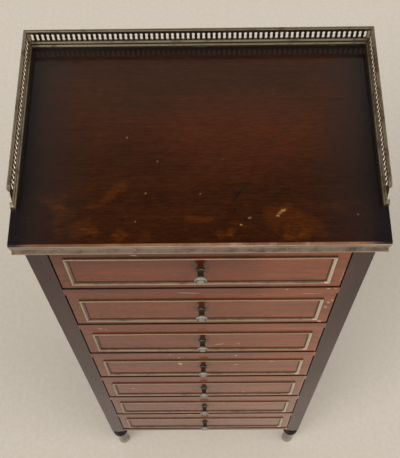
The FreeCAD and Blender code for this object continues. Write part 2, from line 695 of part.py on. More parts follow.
# Section of the brass edge: a bead, a small bead, a shallow hollow and a lower bead.
# A bead is a sixth of a circle: it stands 1 - cos 30 degrees of its height above its bed.
EDGE_H = f"({d.top_thickness} - {d.top_lip})"
TOP_FRONT = f"({FRONT_Y} - {d.top_overhang})"
BEAD_BED = f"(0.13398 * {d.edge_bead})"
HOLLOW_TOP = f"({EDGE_H} - {d.edge_bead} - {d.edge_fillet})"
HOLLOW = f"({HOLLOW_TOP} - {d.edge_bead})"
EDGE_SECTION = [
    (d.edge_depth, "0"),
    (d.edge_depth, EDGE_H),
    (BEAD_BED, EDGE_H),
    (BEAD_BED, f"{EDGE_H} - {d.edge_bead}"),
    (BEAD_BED, HOLLOW_TOP),
    (BEAD_BED, d.edge_bead),
    (BEAD_BED, "0"),
]
EDGE_ARCS = {
    2: (d.edge_bead, -1),
    3: (d.edge_fillet, -1),
    4: (f"({HOLLOW}^2 / 4 + {d.edge_hollow}^2) / (2 * {d.edge_hollow})", 1),
    5: (d.edge_bead, -1),
}

# Domed pins that hold the brass edge, drawn from the point to the head and set level in its hollow.
DOME = f"({d.edge_pin_head}^2 + {d.edge_pin_dome}^2) / (2 * {d.edge_pin_dome})"
EDGE_PIN_SECTION = [
    ("0", "0"),
    (d.edge_pin_radius, "0"),
    (d.edge_pin_radius, d.edge_pin_length),
    (d.edge_pin_head, d.edge_pin_length),
    ("0", f"{d.edge_pin_length} + {d.edge_pin_dome}"),
]
EDGE_PIN_TIP = f"({BEAD_BED} + {d.edge_hollow} - {d.fit_gap} + {d.edge_pin_length})"
EDGE_PIN_Z = f"{TOP_Z} + {d.edge_bead} + {HOLLOW} / 2"


def edge_pin_spots(side, spare):
    """Where the pins on one side of the top have their points, made deeper by a spare, and their turn."""
    deep = f"({EDGE_PIN_TIP} + {spare})"
    if side == "front":
        shares = [(k + 0.65) / FRONT_PINS for k in range(FRONT_PINS)]
        spots = [(f"{TOP_W} * ({share} - 0.5)", f"{TOP_FRONT} + {deep}", EDGE_PIN_Z) for share in shares]
        return spots, about("x", 90)
    shares = [(k + 0.5) / SIDE_PINS for k in range(SIDE_PINS)]
    x = f"{deep} - {TOP_W} / 2" if side == "left" else f"{TOP_W} / 2 - {deep}"
    spots = [(x, f"{TOP_FRONT} + {share} * {TOP_D}", EDGE_PIN_Z) for share in shares]
    return spots, about("z", -90 if side == "left" else 90) * about("x", 90)


def edge_pin_holes(name, side):
    """Holes for the pins on one side of the top."""
    spots, turn = edge_pin_spots(side, d.bore_spare)
    radius = f"{d.edge_pin_radius} + {d.fit_gap}"
    run = f"{d.edge_pin_length} + {d.bore_spare}"
    return [rod(f"{name}_{side}_{k}", radius, run, spot, turn) for k, spot in enumerate(spots)]


EDGE_SIDES = ("front", "left", "right")
edge_pins = []
for side in EDGE_SIDES:
    spots, turn = edge_pin_spots(side, "0")
    for k, spot in enumerate(spots):
        pin = turned(f"edge_pin_{side}_{k}", EDGE_PIN_SECTION, {3: (DOME, -1)})
        edge_pins.append(place(pin, spot, turn))
part(group("edge_pin_set", edge_pins), "edge_pins")

# Top board: a rebate on the front and both sides takes the brass edge, the lip is rounded.
slab = box("top_slab", (TOP_W, TOP_D, d.top_thickness), (f"-{TOP_W} / 2", TOP_FRONT, TOP_Z))
rebates = [
    box("rebate_front", (TOP_W, d.edge_depth, EDGE_H), (f"-{TOP_W} / 2", TOP_FRONT, TOP_Z)),
    box("rebate_left", (d.edge_depth, TOP_D, EDGE_H), (f"-{TOP_W} / 2", TOP_FRONT, TOP_Z)),
    box("rebate_right", (d.edge_depth, TOP_D, EDGE_H), (f"{TOP_W} / 2 - {d.edge_depth}", TOP_FRONT, TOP_Z)),
]
holes = pins("top_pin_hole", d.fit_gap, range(7))
for side in EDGE_SIDES:
    holes += edge_pin_holes("top_nail_hole", side)
drilled = cut("top_drilled", slab, rebates + holes)
doc.recompute()
lip = doc.addObject("Part::Fillet", "top_lip_round")
lip.Base = drilled
rounding = number(d.lip_round)
middles = [edge.CenterOfMass for edge in drilled.Shape.Edges]
front_edge = max(range(len(middles)), key=lambda k: middles[k].z - middles[k].y)
lip.Edges = [(front_edge + 1, rounding, rounding)]
part(lip, "top_board")

# Brass edge of the top in three lengths, mitred at the front corners.
edges = []
for name, run, ends, at, angle in (
    ("front", TOP_W, ("low", "high"), (f"-{TOP_W} / 2", TOP_FRONT, TOP_Z), 0),
    ("left", TOP_D, ("high",), (f"-{TOP_W} / 2", BACK_Y, TOP_Z), -90),
    ("right", TOP_D, ("low",), (f"{TOP_W} / 2", TOP_FRONT, TOP_Z), 90),
):
    strip = moulding(f"edge_{name}", EDGE_SECTION, run, EDGE_ARCS)
    for end in ends:
        mitre(strip, end, run, d.edge_depth)
    place(strip, at, about("z", angle))
    edges.append(cut(f"edge_{name}_drilled", strip, edge_pin_holes("edge_hole", name)))
part(group("edge_set", edges), "top_edge_brass")

# Gallery: foot moulding, pierced band and top rail in one section.
WEB_END = f"({d.gallery_web_inset} + {d.gallery_web})"
RAIL_Z = f"({d.gallery_height} - {d.gallery_rail_height})"
RAIL_BED = f"({d.gallery_height} - 0.3 * {d.gallery_rail_width})"
GALLERY_SECTION = [
    ("0", "0"),
    (d.gallery_base_width, "0"),
    (d.gallery_base_width, f"0.3 * {d.gallery_base_height}"),
    (d.gallery_base_step, f"0.5 * {d.gallery_base_height}"),
    (d.gallery_base_step, f"0.8 * {d.gallery_base_height}"),
    (WEB_END, d.gallery_base_height),
    (WEB_END, RAIL_Z),
    (d.gallery_rail_width, f"{RAIL_Z} + 0.2 * {d.gallery_rail_height}"),
    (d.gallery_rail_width, RAIL_BED),
    ("0", RAIL_BED),
    ("0", f"{RAIL_Z} + 0.2 * {d.gallery_rail_height}"),
    (d.gallery_web_inset, RAIL_Z),
    (d.gallery_web_inset, d.gallery_base_height),
    ("0", f"0.85 * {d.gallery_base_height}"),
]
GALLERY_ARCS = {
    2: (f"0.35 * {d.gallery_base_height}", -1),
    8: (f"0.5667 * {d.gallery_rail_width}", -1),
}


def gallery(name, run, count, margins, mitres, ramp):
    """A length of gallery along x with a row of waisted slots and an ogee at a free end."""
    body = moulding(f"{name}_length", GALLERY_SECTION, run, GALLERY_ARCS)
    for end in mitres:
        mitre(body, end, run, d.gallery_base_width)
    if ramp:
        high = f"({d.gallery_height} + {d.run_out})"
        half = f"({high} + {d.ramp_foot}) / 2"

        def along(text):
            """Distance from the free end."""
            return text if ramp == "low" else f"{run} - {text}"

        swell = 1 if ramp == "low" else -1
        bow = f"0.62 * sqrt({d.ramp_length}^2 + ({d.gallery_height} - {d.ramp_foot})^2)"
        start = "0" if ramp == "low" else run
        corners = [
            (start, d.ramp_foot),
            (along(f"{d.ramp_length} / 2"), half),
            (along(d.ramp_length), high),
            (start, high),
        ]
        pocket(body, "XZ_Plane", f"{name}_ramp", corners, {0: (bow, -swell), 1: (bow, swell)})
    first, last = margins
    low = f"{d.gallery_base_height} + {d.slot_land} + {d.slot_radius}"
    high = f"{RAIL_Z} - {d.slot_land} - {d.slot_radius}"
    waist = f"({low} + {high}) / 2"
    shape = [
        (f"{first} - {d.slot_radius}", high),
        (f"{first} - {d.slot_waist}", waist),
        (f"{first} - {d.slot_radius}", low),
        (f"{first} + {d.slot_radius}", low),
        (f"{first} + {d.slot_waist}", waist),
        (f"{first} + {d.slot_radius}", high),
    ]
    bend = f"1.001 * {d.slot_radius}"
    slot = pocket(body, "XZ_Plane", f"{name}_slot", shape, {2: (bend, -1), 5: (bend, -1)})
    row = body.newObject("PartDesign::LinearPattern", f"{name}_row")
    row.Originals = [slot]
    row.Direction = (slot.Profile[0], ["H_Axis"])
    row.setExpression("Length", f"{run} - {first} - {last}")
    row.setExpression("Occurrences", count)
    body.Tip = row
    doc.recompute()
    return body


free_end = f"({d.ramp_length} + {d.slot_radius} + {d.slot_ramp_land})"
for name, run, count, margins, mitres, ramp, at, angle, holes in (
    (
        "gallery_back", TOP_W, d.slot_count_back, (d.slot_end, d.slot_end), ("low", "high"), None,
        (f"{TOP_W} / 2", BACK_Y, TABLE_Z), 180, (0, 1, 2),
    ),
    (
        "gallery_left", SIDE_RUN, d.slot_count_side, (d.slot_end, free_end), ("low",), "high",
        (f"-{TOP_W} / 2", BACK_Y, TABLE_Z), -90, (3, 4),
    ),
    (
        "gallery_right", SIDE_RUN, d.slot_count_side, (free_end, d.slot_end), ("high",), "low",
        (f"{TOP_W} / 2", f"{BACK_Y} - {SIDE_RUN}", TABLE_Z), 90, (5, 6),
    ),
):
    length = gallery(name, run, count, margins, mitres, ramp)
    place(length, at, about("z", angle))
    part(cut(name + "_drilled", length, pins(name + "_hole", d.fit_gap, holes)), name)

doc.recompute()

# Every object has to be sound before a file is written.
for item in doc.Objects:
    bad = [word for word in item.State if word in ("Invalid", "Error")]
    if bad:
        raise RuntimeError(f"{item.Name} is {bad}")
os.makedirs("parts", exist_ok=True)
for item in PARTS:
    shape = item.Shape
    if shape.isNull() or not shape.isValid() or not shape.Solids:
        raise RuntimeError(f"{item.Label} has no sound shape")
for item in PARTS:
    item.Shape.exportStep(f"parts/{item.Label}.step")
print(len(PARTS), "parts")
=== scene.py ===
"""A tall mahogany chest of seven drawers with a pierced brass gallery, dressed and lit for a studio view."""

import math

import bmesh
import bpy
import numpy as np
from bpy.props import FloatProperty, FloatVectorProperty, IntProperty, PointerProperty
from mathutils import Matrix, Vector


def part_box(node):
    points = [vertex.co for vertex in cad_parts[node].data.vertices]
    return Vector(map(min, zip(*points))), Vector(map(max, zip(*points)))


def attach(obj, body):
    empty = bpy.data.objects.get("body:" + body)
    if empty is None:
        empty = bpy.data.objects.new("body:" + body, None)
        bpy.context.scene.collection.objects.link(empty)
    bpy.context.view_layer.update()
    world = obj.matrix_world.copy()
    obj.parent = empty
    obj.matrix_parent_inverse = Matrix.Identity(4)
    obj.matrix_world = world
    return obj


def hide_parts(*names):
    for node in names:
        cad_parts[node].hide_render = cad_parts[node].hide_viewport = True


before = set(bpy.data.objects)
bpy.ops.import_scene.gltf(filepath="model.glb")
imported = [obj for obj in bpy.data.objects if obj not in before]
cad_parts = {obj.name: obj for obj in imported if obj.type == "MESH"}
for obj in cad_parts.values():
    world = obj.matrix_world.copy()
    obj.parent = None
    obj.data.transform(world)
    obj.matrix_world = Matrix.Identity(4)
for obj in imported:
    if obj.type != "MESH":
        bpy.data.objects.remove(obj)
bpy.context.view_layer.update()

bl_info = {
    "name": "Semainier",
    "version": (1, 0, 0),
    "blender": (4, 5, 0),
    "location": "3D View > Sidebar > Semainier",
    "description": "Finishes, brasswork and studio for a chest of seven drawers with a brass gallery",
    "category": "Object",
}

MM = 0.001
DRAWERS = range(1, 8)
LEGS = ("leg_front_left", "leg_front_right", "leg_back_left", "leg_back_right")

# Places read from the frame, in metres
TOP_LOW, TOP_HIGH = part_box("top_board")
TABLE_Z = TOP_HIGH.z
LIP_Y = TOP_LOW.y
EDGE_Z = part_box("top_edge_brass")[0].z
GALLERY_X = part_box("gallery_right")[0].x
CASE_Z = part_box("bottom_rail")[0].z
DRAWER_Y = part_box("drawer_1_front")[0].y
DRAWER_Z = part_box("drawer_7_front")[0].z
DRAWER_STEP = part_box("drawer_6_front")[0].z - DRAWER_Z
FRONT_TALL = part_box("drawer_7_front")[1].z - DRAWER_Z
FRONT_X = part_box("drawer_1_front")[1].x
FRAME_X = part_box("drawer_1_trim")[1].x
KNOB_UP = (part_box("drawer_7_knob")[0].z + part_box("drawer_7_knob")[1].z) / 2 - DRAWER_Z
KNOB_REACH = DRAWER_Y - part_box("drawer_1_knob")[0].y


def colour(name, description, default):
    """A colour that a user may change, as linear red, green and blue."""
    return FloatVectorProperty(
        name=name, description=description, default=default, subtype="COLOR", size=3, min=0.0, max=1.0
    )


def length(name, description, default):
    """A length that a user may change, in metres."""
    return FloatProperty(
        name=name, description=description, default=default, min=0.0, unit="LENGTH", precision=5
    )


def share(name, description, default):
    """A value from 0 to 1 that a user may change."""
    return FloatProperty(
        name=name, description=description, default=default, min=0.0, max=1.0, subtype="FACTOR"
    )


def amount(name, description, default):
    """A value of 0 or more that a user may change."""
    return FloatProperty(name=name, description=description, default=default, min=0.0)


def angle(name, description, degrees):
    """An angle that a user may change, given in degrees."""
    return FloatProperty(name=name, description=description, default=math.radians(degrees), subtype="ANGLE")


class WoodLook(bpy.types.PropertyGroup):
    """Tones and polish of the woods."""

    front_tone: colour("Front", "Mahogany of the drawer fronts and rails", (0.176, 0.0235, 0.0020))
    # Also painted shadow: the upper left of the top drawer is darkened as if shaded by the top
    front_dark_grain_and_shadow: colour("Front, dark grain", "Dark streaks in the fronts", (0.046, 0.0046, 0.0008))
    # Painted shade: a deeper red where the polish is made to mirror something dark
    front_deep_shade: colour("Front, deep", "Deeper red round the upper knobs", (0.112, 0.0110, 0.0002))
    front_smoke: colour("Front, smoky", "Brown places in the polish of the fronts", (0.070, 0.0270, 0.0115))
    # Also painted light: the fronts are made paler to the right, as if lit from that side
    front_pale_grain_and_lit: colour("Front, light grain", "Light streaks in the fronts", (0.315, 0.084, 0.0290))
    # Dust and painted sheen: the fronts are made paler low down and to the right
    front_dust_and_sheen: colour("Front, dusty", "Pale bloom on the lower fronts", (0.36, 0.31, 0.28))
    front_sheen: colour("Front, sheen", "Tint of the reflections in the fronts", (1.0, 0.90, 0.70))
    post_tone: colour("Post", "Dark mahogany of the posts", (0.040, 0.0200, 0.0175))
    post_light: colour("Post, light grain", "Light streaks in the posts", (0.070, 0.0345, 0.0300))
    panel_tone: colour("Panel", "Mahogany of the side panels", (0.078, 0.026, 0.014))
    top_tone: colour("Top", "Mahogany of the top board", (0.061, 0.0122, 0.0012))
    top_dark: colour("Top, dark grain", "Dark streaks in the top", (0.030, 0.0066, 0.0010))
    top_worn: colour("Top, worn polish", "Warm wood where the polish has gone thin", (0.130, 0.030, 0.0022))
    top_glow: colour("Top, red", "Redder polish right of the middle", (0.105, 0.021, 0.0060))
    top_sides: colour("Top, sides", "Darker, greyer polish towards the sides", (0.019, 0.0115, 0.0098))
    # Painted shadow and reflection along the gallery; also the colour of the scratches
    top_shade_and_scratch: colour("Top, shaded", "Blackened polish along the gallery", (0.0060, 0.0055, 0.0065))
    top_sheen: colour("Top, sheen", "Tint of the reflections in the top", (1.0, 0.96, 0.80))
    # Rubbed wood and a painted highlight along the lip
    lip_worn_and_lit: colour("Lip", "Rubbed wood along the front lip of the top", (0.285, 0.125, 0.066))
    # Also the painted glints on the lip of the top
    bare_wood_and_glint: colour("Bare wood", "Wood in a fresh chip", (0.56, 0.335, 0.245))
    chip_tone: colour("Chip", "Wood in the chips of the top", (0.42, 0.205, 0.075))
    edge_tone: colour("Worn edge", "Wood along rubbed edges", (0.205, 0.085, 0.045))
    # Old grime in pores and corners, and the painted shade in gaps and closed-in corners
    grime_and_shade_tone: colour("Grime", "Old wax in the corners", (0.018, 0.0042, 0.0018))
    leg_tone: colour("Leg", "Ebonised legs", (0.018, 0.013, 0.011))
    lining_tone: colour("Lining", "Pale wood of the drawer boxes", (0.46, 0.29, 0.15))
    lining_dust: colour("Lining, handled", "Greyed places in the pale wood", (0.26, 0.18, 0.11))
    # Darkens the corners of the drawers by how closed in they are
    lining_corner_tone: colour("Lining, corners", "Dirt in the corners of the drawers", (0.07, 0.045, 0.028))
    back_tone: colour("Back", "Stained wood of the back panel", (0.095, 0.048, 0.025))
    back_dust: colour("Back, dusty", "Dust on the back panel", (0.16, 0.12, 0.09))
    polish: share("Polish", "Roughness of the polished wood", 0.085)
    shine: share("Shine", "Strength of the reflections in the polish", 0.22)


class BrassLook(bpy.types.PropertyGroup):
    """Tones of the brasswork."""

    gallery_tone: colour("Gallery", "Brass of the gallery", (0.27, 0.222, 0.158))
    edge_tone: colour("Edge", "Brass along the top", (0.50, 0.395, 0.318))
    trim_tone: colour("Frame", "Brass frames on the drawers", (0.54, 0.430, 0.320))
    knob_tone: colour("Knob", "Greyed brass of the knobs", (0.33, 0.312, 0.280))
    shoe_tone: colour("Shoe", "Brass shoes of the legs", (0.50, 0.46, 0.405))
    # Also the painted shade on the frame strips
    tarnish_and_shade: colour("Tarnish", "Brown skin in the hollows", (0.058, 0.027, 0.012))
    film: colour("Edge, grey skin", "Grey film in the hollow of the edge", (0.062, 0.045, 0.034))
    # Dark skin and painted shade on the necks of the knobs
    neck_soot_and_shade: colour("Knob, dark skin", "Nearly black skin on the necks of the knobs", (0.036, 0.0215, 0.0095))
    # Also the colour of the painted highlights on the gallery, the brass edge and the frames
    rubbed: colour("Rubbed", "Clean brass where it is rubbed", (0.86, 0.76, 0.62))
    verdigris: colour("Verdigris", "Green bloom in the corners", (0.20, 0.26, 0.19))
    gloss: share("Gloss", "Roughness of the rubbed brass", 0.27)


class ShapeLook(bpy.types.PropertyGroup):
    """Sizes of the brass and turned pieces."""

    strip_width: length("Strip width", "Width of the frame strip", 0.006)
    strip_wave: length("Strip waviness", "How far a strip departs from straight", 0.00012)
    turns: IntProperty(
        name="Turned segments", description="Facets round a turned piece", default=72, min=12, max=160
    )


class StageLook(bpy.types.PropertyGroup):
    """Floor, light and camera."""

    floor_tone: colour("Floor", "Pale floor", (0.655, 0.585, 0.495))
    horizon: colour("Horizon", "Light low round the room", (0.80, 0.79, 0.775))
    zenith: colour("Zenith", "Light from above", (0.05, 0.05, 0.05))
    key_power: amount("Key lamp", "Strength of the main soft light", 1.15)
    fill_power: amount("Fill lamp", "Strength of the second soft light", 0.85)
    lens: FloatProperty(name="Lens", description="Focal length in millimetres", default=65.689, min=1.0)
    eye: FloatVectorProperty(
        name="Eye", description="Place of the camera", default=(0.0098, -0.5747, 2.1937),
        size=3, subtype="TRANSLATION",
    )
    yaw: angle("Yaw", "Turn to the right", -1.1826)
    pitch: angle("Pitch", "Tilt downwards", 64.4437)
    roll: angle("Roll", "Turn about the view", 1.5660)


class Value:
    """A node's output that can stand in a sum: each sign adds one Math node."""

    def __init__(self, nodes, socket):
        self.nodes = nodes
        self.socket = socket

    def join(self, operation, first, second=0.0):
        return self.nodes.node("ShaderNodeMath", {"operation": operation}, {0: first, 1: second})

    def __add__(self, other):
        return self.join("ADD", self, other)

    def __sub__(self, other):
        return self.join("SUBTRACT", self, other)

    def __rsub__(self, other):
        return self.join("SUBTRACT", other, self)

    def __mul__(self, other):
        return self.join("MULTIPLY", self, other)

    def __truediv__(self, other):
        return self.join("DIVIDE", self, other)

    def __rtruediv__(self, other):
        return self.join("DIVIDE", other, self)

    def __abs__(self):
        return self.join("ABSOLUTE", self)

    __radd__ = __add__
    __rmul__ = __mul__

    def most(self, other):
        """The greater of two values."""
        return self.join("MAXIMUM", self, other)

    def rest(self):
        """What is left after the whole numbers."""
        return self.join("FRACT", self)

    def rise(self, low, high):
        """0 below low, 1 above high and an S-curve between; low above high turns it round."""
        return self.nodes.node(
            "ShaderNodeMapRange",
            {"interpolation_type": "SMOOTHSTEP", "clamp": True},
            {"Value": self, "From Min": low, "From Max": high, "To Min": 0.0, "To Max": 1.0},
        )


NO_SHIFT = (0.0, 0.0, 0.0)


class Nodes:
    """A node tree and the few kinds of node that the finishes are written with."""

    def __init__(self, tree):
        self.tree = tree
        self.tree.nodes.clear()

    def node(self, kind, settings=None, sockets=None, output=0):
        """Adds a node, sets its settings, fills its sockets with values or links, and returns one output."""
        made = self.tree.nodes.new(kind)
        for key, value in (settings or {}).items():
            setattr(made, key, value)
        for key, value in (sockets or {}).items():
            if isinstance(value, Value):
                self.tree.links.new(value.socket, made.inputs[key])
            else:
                made.inputs[key].default_value = value
        return Value(self, made.outputs[output]) if made.outputs else None

    def place(self):
        """Where a point is, in the object's own coordinates."""
        return self.node("ShaderNodeTexCoord", output=3)

    def facing(self):
        """The true normal of the face."""
        return self.node("ShaderNodeNewGeometry", output=3)

    def parts(self, vector):
        """x, y and z of a vector."""
        split = self.node("ShaderNodeSeparateXYZ", sockets={0: vector})
        outputs = split.socket.node.outputs
        return [Value(self, outputs[k]) for k in range(3)]

    def spread(self, vector, scale, shift=NO_SHIFT):
        """A vector stretched along its axes and moved."""
        sockets = {0: vector, "Scale": scale, "Location": shift}
        return self.node("ShaderNodeMapping", {"vector_type": "POINT"}, sockets)

    def noise(self, vector, cells, detail, roughness, distortion=0.0, shift=NO_SHIFT):
        """Soft random values, about 0.5 in the middle, with so many cells to the metre along x, y and z.

        One number for the cells stands for all three.
        """
        scale = cells if isinstance(cells, tuple) else (cells, cells, cells)
        return self.node("ShaderNodeTexNoise", {"noise_dimensions": "3D"}, {
            0: self.spread(vector, scale, shift), "Scale": 1.0,
            "Detail": detail, "Roughness": roughness, "Distortion": distortion,
        })

    def ragged(self, vector, cells, detail, reach):
        """A place pushed about by noise, up to half the reach each way, so that marks get torn rims."""
        sockets = {0: vector, "Scale": cells, "Detail": detail}
        push = self.node("ShaderNodeTexNoise", sockets=sockets, output=1)
        sockets = {0: push, 1: reach, 2: vector}
        moved = self.node("ShaderNodeVectorMath", {"operation": "MULTIPLY_ADD"}, sockets)
        return self.spread(moved, (1.0, 1.0, 1.0), tuple(-0.5 * way for way in reach))

    def mix(self, factor, first, second):
        """Two colours, the second coming in with the factor."""
        sockets = {0: factor}
        for key, tone in ((6, first), (7, second)):
            sockets[key] = tone if isinstance(tone, Value) else (*tone, 1.0)
        return self.node("ShaderNodeMix", {"data_type": "RGBA", "clamp_factor": True}, sockets, output=2)

    def dim(self, tone, factor):
        """A colour times a value."""
        grey = self.node("ShaderNodeCombineXYZ", sockets={0: factor, 1: factor, 2: factor})
        settings = {"data_type": "RGBA", "blend_type": "MULTIPLY"}
        return self.node("ShaderNodeMix", settings, {0: 1.0, 6: tone, 7: grey}, output=2)

    def blot(self, vector, centre, radii, turn=NO_SHIFT):
        """1 inside an ellipsoid about a place on the object, falling to 0 at its rim."""
        sockets = {0: vector, "Location": centre, "Rotation": turn, "Scale": radii}
        local = self.node("ShaderNodeMapping", {"vector_type": "TEXTURE"}, sockets)
        far = self.node("ShaderNodeVectorMath", {"operation": "LENGTH"}, {0: local}, output=1)
        return far.rise(1.0, 0.45)

    def blots(self, vector, spots):
        """1 inside any of the ellipsoids, each given by its centre, radii and turn."""
        found = None
        for spot in spots:
            mark = self.blot(vector, *spot)
            found = mark if found is None else found.most(mark)
        return found

    def corner(self, reach, samples=4):
        """Open to the air 1, deep in a corner 0."""
        settings = {"samples": samples, "inside": False, "only_local": False}
        return self.node("ShaderNodeAmbientOcclusion", settings, {"Distance": reach}, output=1)

    def eased(self, radius):
        """The normal as if every edge had a small round."""
        return self.node("ShaderNodeBevel", {"samples": 4}, {"Radius": radius})

    def rubbed(self, radius):
        """How far the eased normal leans away from the face, 0 on the flat."""
        sockets = {0: self.eased(radius), 1: self.facing()}
        lean = self.node("ShaderNodeVectorMath", {"operation": "DOT_PRODUCT"}, sockets, output=1)
        return 1.0 - lean

    def bump(self, height, distance, normal=None):
        """A normal tilted by a height, which counts in steps of the distance in metres."""
        sockets = {"Height": height, "Distance": distance, "Strength": 1.0}
        if normal is not None:
            sockets["Normal"] = normal
        return self.node("ShaderNodeBump", sockets=sockets)


class Finish(Nodes):
    """A material with one principled surface."""

    def __init__(self, name):
        self.material = bpy.data.materials.new(name)
        self.material.use_nodes = True
        super().__init__(self.material.node_tree)

    def surface(self, sockets):
        """Closes the material with its surface and returns it."""
        shader = self.node("ShaderNodeBsdfPrincipled", sockets=sockets)
        self.node("ShaderNodeOutputMaterial", sockets={0: shader})
        return self.material


def kept(name, make):
    """A material made once and used again."""
    return bpy.data.materials.get(name) or make(name)


def shaded(tone, factor):
    """A colour made darker by one factor."""
    return tuple(channel * factor for channel in tone)


def start_wood(name):
    """The wood's tones, a new material and the place of a point on it."""
    g = Finish(name)
    return bpy.context.scene.semainier_wood, g, g.place()


def along(axis, run, cross):
    """Cells for a pattern that runs along one axis."""
    return tuple(run if letter == axis else cross for letter in "xyz")


def grain(g, p, axis, shift=0.0):
    """Figure, fibre and pores of a straight-grained wood: noise stretched along the grain at three widths."""
    move = (shift, shift * 0.7, shift * 0.3)
    figure = g.noise(p, along(axis, 2.6, 34.0), 5.0, 0.58, 0.7, move).rise(0.33, 0.67)
    fibre = g.noise(p, along(axis, 13.0, 520.0), 3.0, 0.6, 0.0, move).rise(0.30, 0.70)
    pore = g.noise(p, along(axis, 75.0, 1500.0), 1.0, 0.5, 0.0, move).rise(0.60, 0.71)
    return figure, fibre, pore


WOOD_EASE = 0.9 * MM
WOOD_WEAR = 1.6 * MM
WAX_AND_SHADE_REACH = 6.0 * MM
POLISH_RELIEF = 0.05 * MM
PLAIN = (1.0, 1.0, 1.0)


def polished(g, wood, p, tone, fibre, pore, wear=0.55, haze=0.10, shine=1.0, tint=PLAIN, specks=0.30):
    """Wax, painted shade in corners, wear and polish that all show wood shares; returns the material."""
    patchy = g.noise(p, 60.0, 4.0, 0.65).rise(0.42, 0.66)
    edge = g.rubbed(WOOD_WEAR).rise(0.04, 0.30) * patchy * wear
    tone = g.mix(edge, tone, wood.edge_tone)
    speck = g.noise(p, 240.0, 2.0, 0.5).rise(0.735, 0.775)
    tone = g.mix(speck * specks, tone, wood.bare_wood_and_glint)
    # Waxy grime and painted shade: darker where a point is closed in by nearby surfaces
    wax_and_shade = g.corner(WAX_AND_SHADE_REACH).rise(0.80, 0.42) * 0.96
    tone = g.mix(wax_and_shade, tone, wood.grime_and_shade_tone)
    smear = g.noise(p, 9.0, 4.0, 0.6).rise(0.40, 0.72)
    rough = wood.polish + haze * smear + 0.16 * edge + 0.22 * wax_and_shade + 0.05 * pore
    wave = g.noise(p, 11.0, 2.0, 0.5)
    relief = fibre * 0.16 - pore * 0.55 + wave * 6.0
    return g.surface({
        "Base Color": tone, "Roughness": rough, "IOR": 1.5,
        "Normal": g.bump(relief, POLISH_RELIEF, g.eased(WOOD_EASE)),
        "Specular IOR Level": wood.shine * shine, "Specular Tint": (*tint, 1.0),
    })


# Nicks in the fronts and rails: x, height, half length and half width in mm, turn in radians
NICKS = (
    # Top rail and drawer 1
    (-150, 1225, 6.0, 1.0, 0.0), (-86, 1205, 6.0, 1.2, -0.2),
    # Rail 1 and drawer 2
    (-18, 1073, 23.0, 1.3, -0.1), (122, 1084, 2.6, 1.8, 0.0), (181, 1086, 4.2, 2.4, 0.0),
    (191, 1087, 3.4, 2.2, 0.0), (193, 1036, 5.2, 1.9, -1.5), (188, 1027, 6.0, 2.3, -1.4),
    (186, 1007, 6.8, 2.2, -1.3), (184, 943, 6.4, 4.2, -0.9),
    # Rail 2 and drawer 3
    (-161, 915, 12.5, 2.0, -0.7), (28, 829, 9.5, 2.2, 0.3), (61, 830, 2.4, 2.2, 0.0),
    # Rail 3 and drawer 4
    (-58, 774, 4.0, 2.2, 0.2), (58, 766, 8.0, 2.4, 1.2), (-43, 751, 2.4, 2.6, 0.0),
    (-42, 714, 9.5, 4.6, -1.2), (60, 707, 5.5, 2.4, 0.7), (124, 726, 7.0, 2.2, 0.2),
    # Drawer 5
    (-57, 605, 4.0, 3.0, 0.0), (-141, 606, 3.4, 3.0, 0.0), (-142, 543, 4.2, 3.0, 0.5),
    (80, 510, 4.6, 2.6, 0.0),
    # Rails 5 and 6 and drawer 7
    (-40, 455, 5.4, 3.2, 0.4), (-34, 319, 6.4, 3.6, 0.3), (-96, 278, 6.0, 3.2, 0.1), (63, 277, 4.4, 3.2, 0.0),
)
MARK_DEEP = 4.0 * MM


def on_front(marks):
    """Centre, radii and turn of marks on the fronts."""
    return [
        ((x * MM, DRAWER_Y, z * MM), (half * MM, MARK_DEEP, thick * MM), (0.0, -turn, 0.0))
        for x, z, half, thick, turn in marks
    ]


def front_grain(g, p, wood, figure, fibre):
    """Streaks and short flecks of the red mahogany."""
    ribbon = g.noise(p, (1.3, 14.0, 14.0), 3.0, 0.5, shift=(3.1, 0.0, 0.0)).rise(0.36, 0.64)
    streak = g.noise(p, (4.0, 150.0, 150.0), 4.0, 0.62, shift=(0.9, 0.0, 0.0)).rise(0.34, 0.66)
    fleck = g.noise(p, (105.0, 420.0, 420.0), 3.0, 0.65, shift=(0.0, 0.0, 2.3)).rise(0.38, 0.62)
    tone = g.mix(figure * 0.32 + streak * 0.33 + fleck * 0.35, wood.front_dark_grain_and_shadow, wood.front_tone)
    return g.mix(fibre * 0.16 + ribbon * 0.16 + fleck * 0.10, tone, wood.front_pale_grain_and_lit)


def front_fading(g, p, x, z, wood, tone):
    """Uneven polish with painted light: paler to the right as if lit from there, a painted shadow at the
    upper left, deep red painted shade by the upper knobs, smoke, and dust with painted sheen low down.
    """
    # Painted light: paler to the right, as if lit from that side
    tone = g.mix(x.rise(-0.20, 0.20) * 0.46 + x.rise(0.05, 0.12) * 0.16, tone, wood.front_pale_grain_and_lit)
    # Painted shadow of the top's overhang at the upper left of the top drawer
    tone = g.mix(z.rise(1.148, 1.182) * x.rise(0.10, 0.03) * 0.48, tone, wood.front_dark_grain_and_shadow)
    # Painted shade: a deeper red round the upper knobs, where the polish would mirror something dark
    deep = g.blot(p, (0.020, DRAWER_Y, 1.17), (0.090, 0.05, 0.29))
    tone = g.mix(deep * 0.30, tone, wood.front_deep_shade)
    smoke = g.noise(p, (7.0, 52.0, 52.0), 4.0, 0.62, 0.4, (1.3, 0.0, 0.0)).rise(0.42, 0.66)
    tone = g.mix(smoke * 0.42, tone, wood.front_smoke)
    # Dust and painted sheen: paler low down and towards the right
    return g.mix(z.rise(0.80, 0.20) * (0.07 + 0.14 * x.rise(-0.10, 0.18)), tone, wood.front_dust_and_sheen)


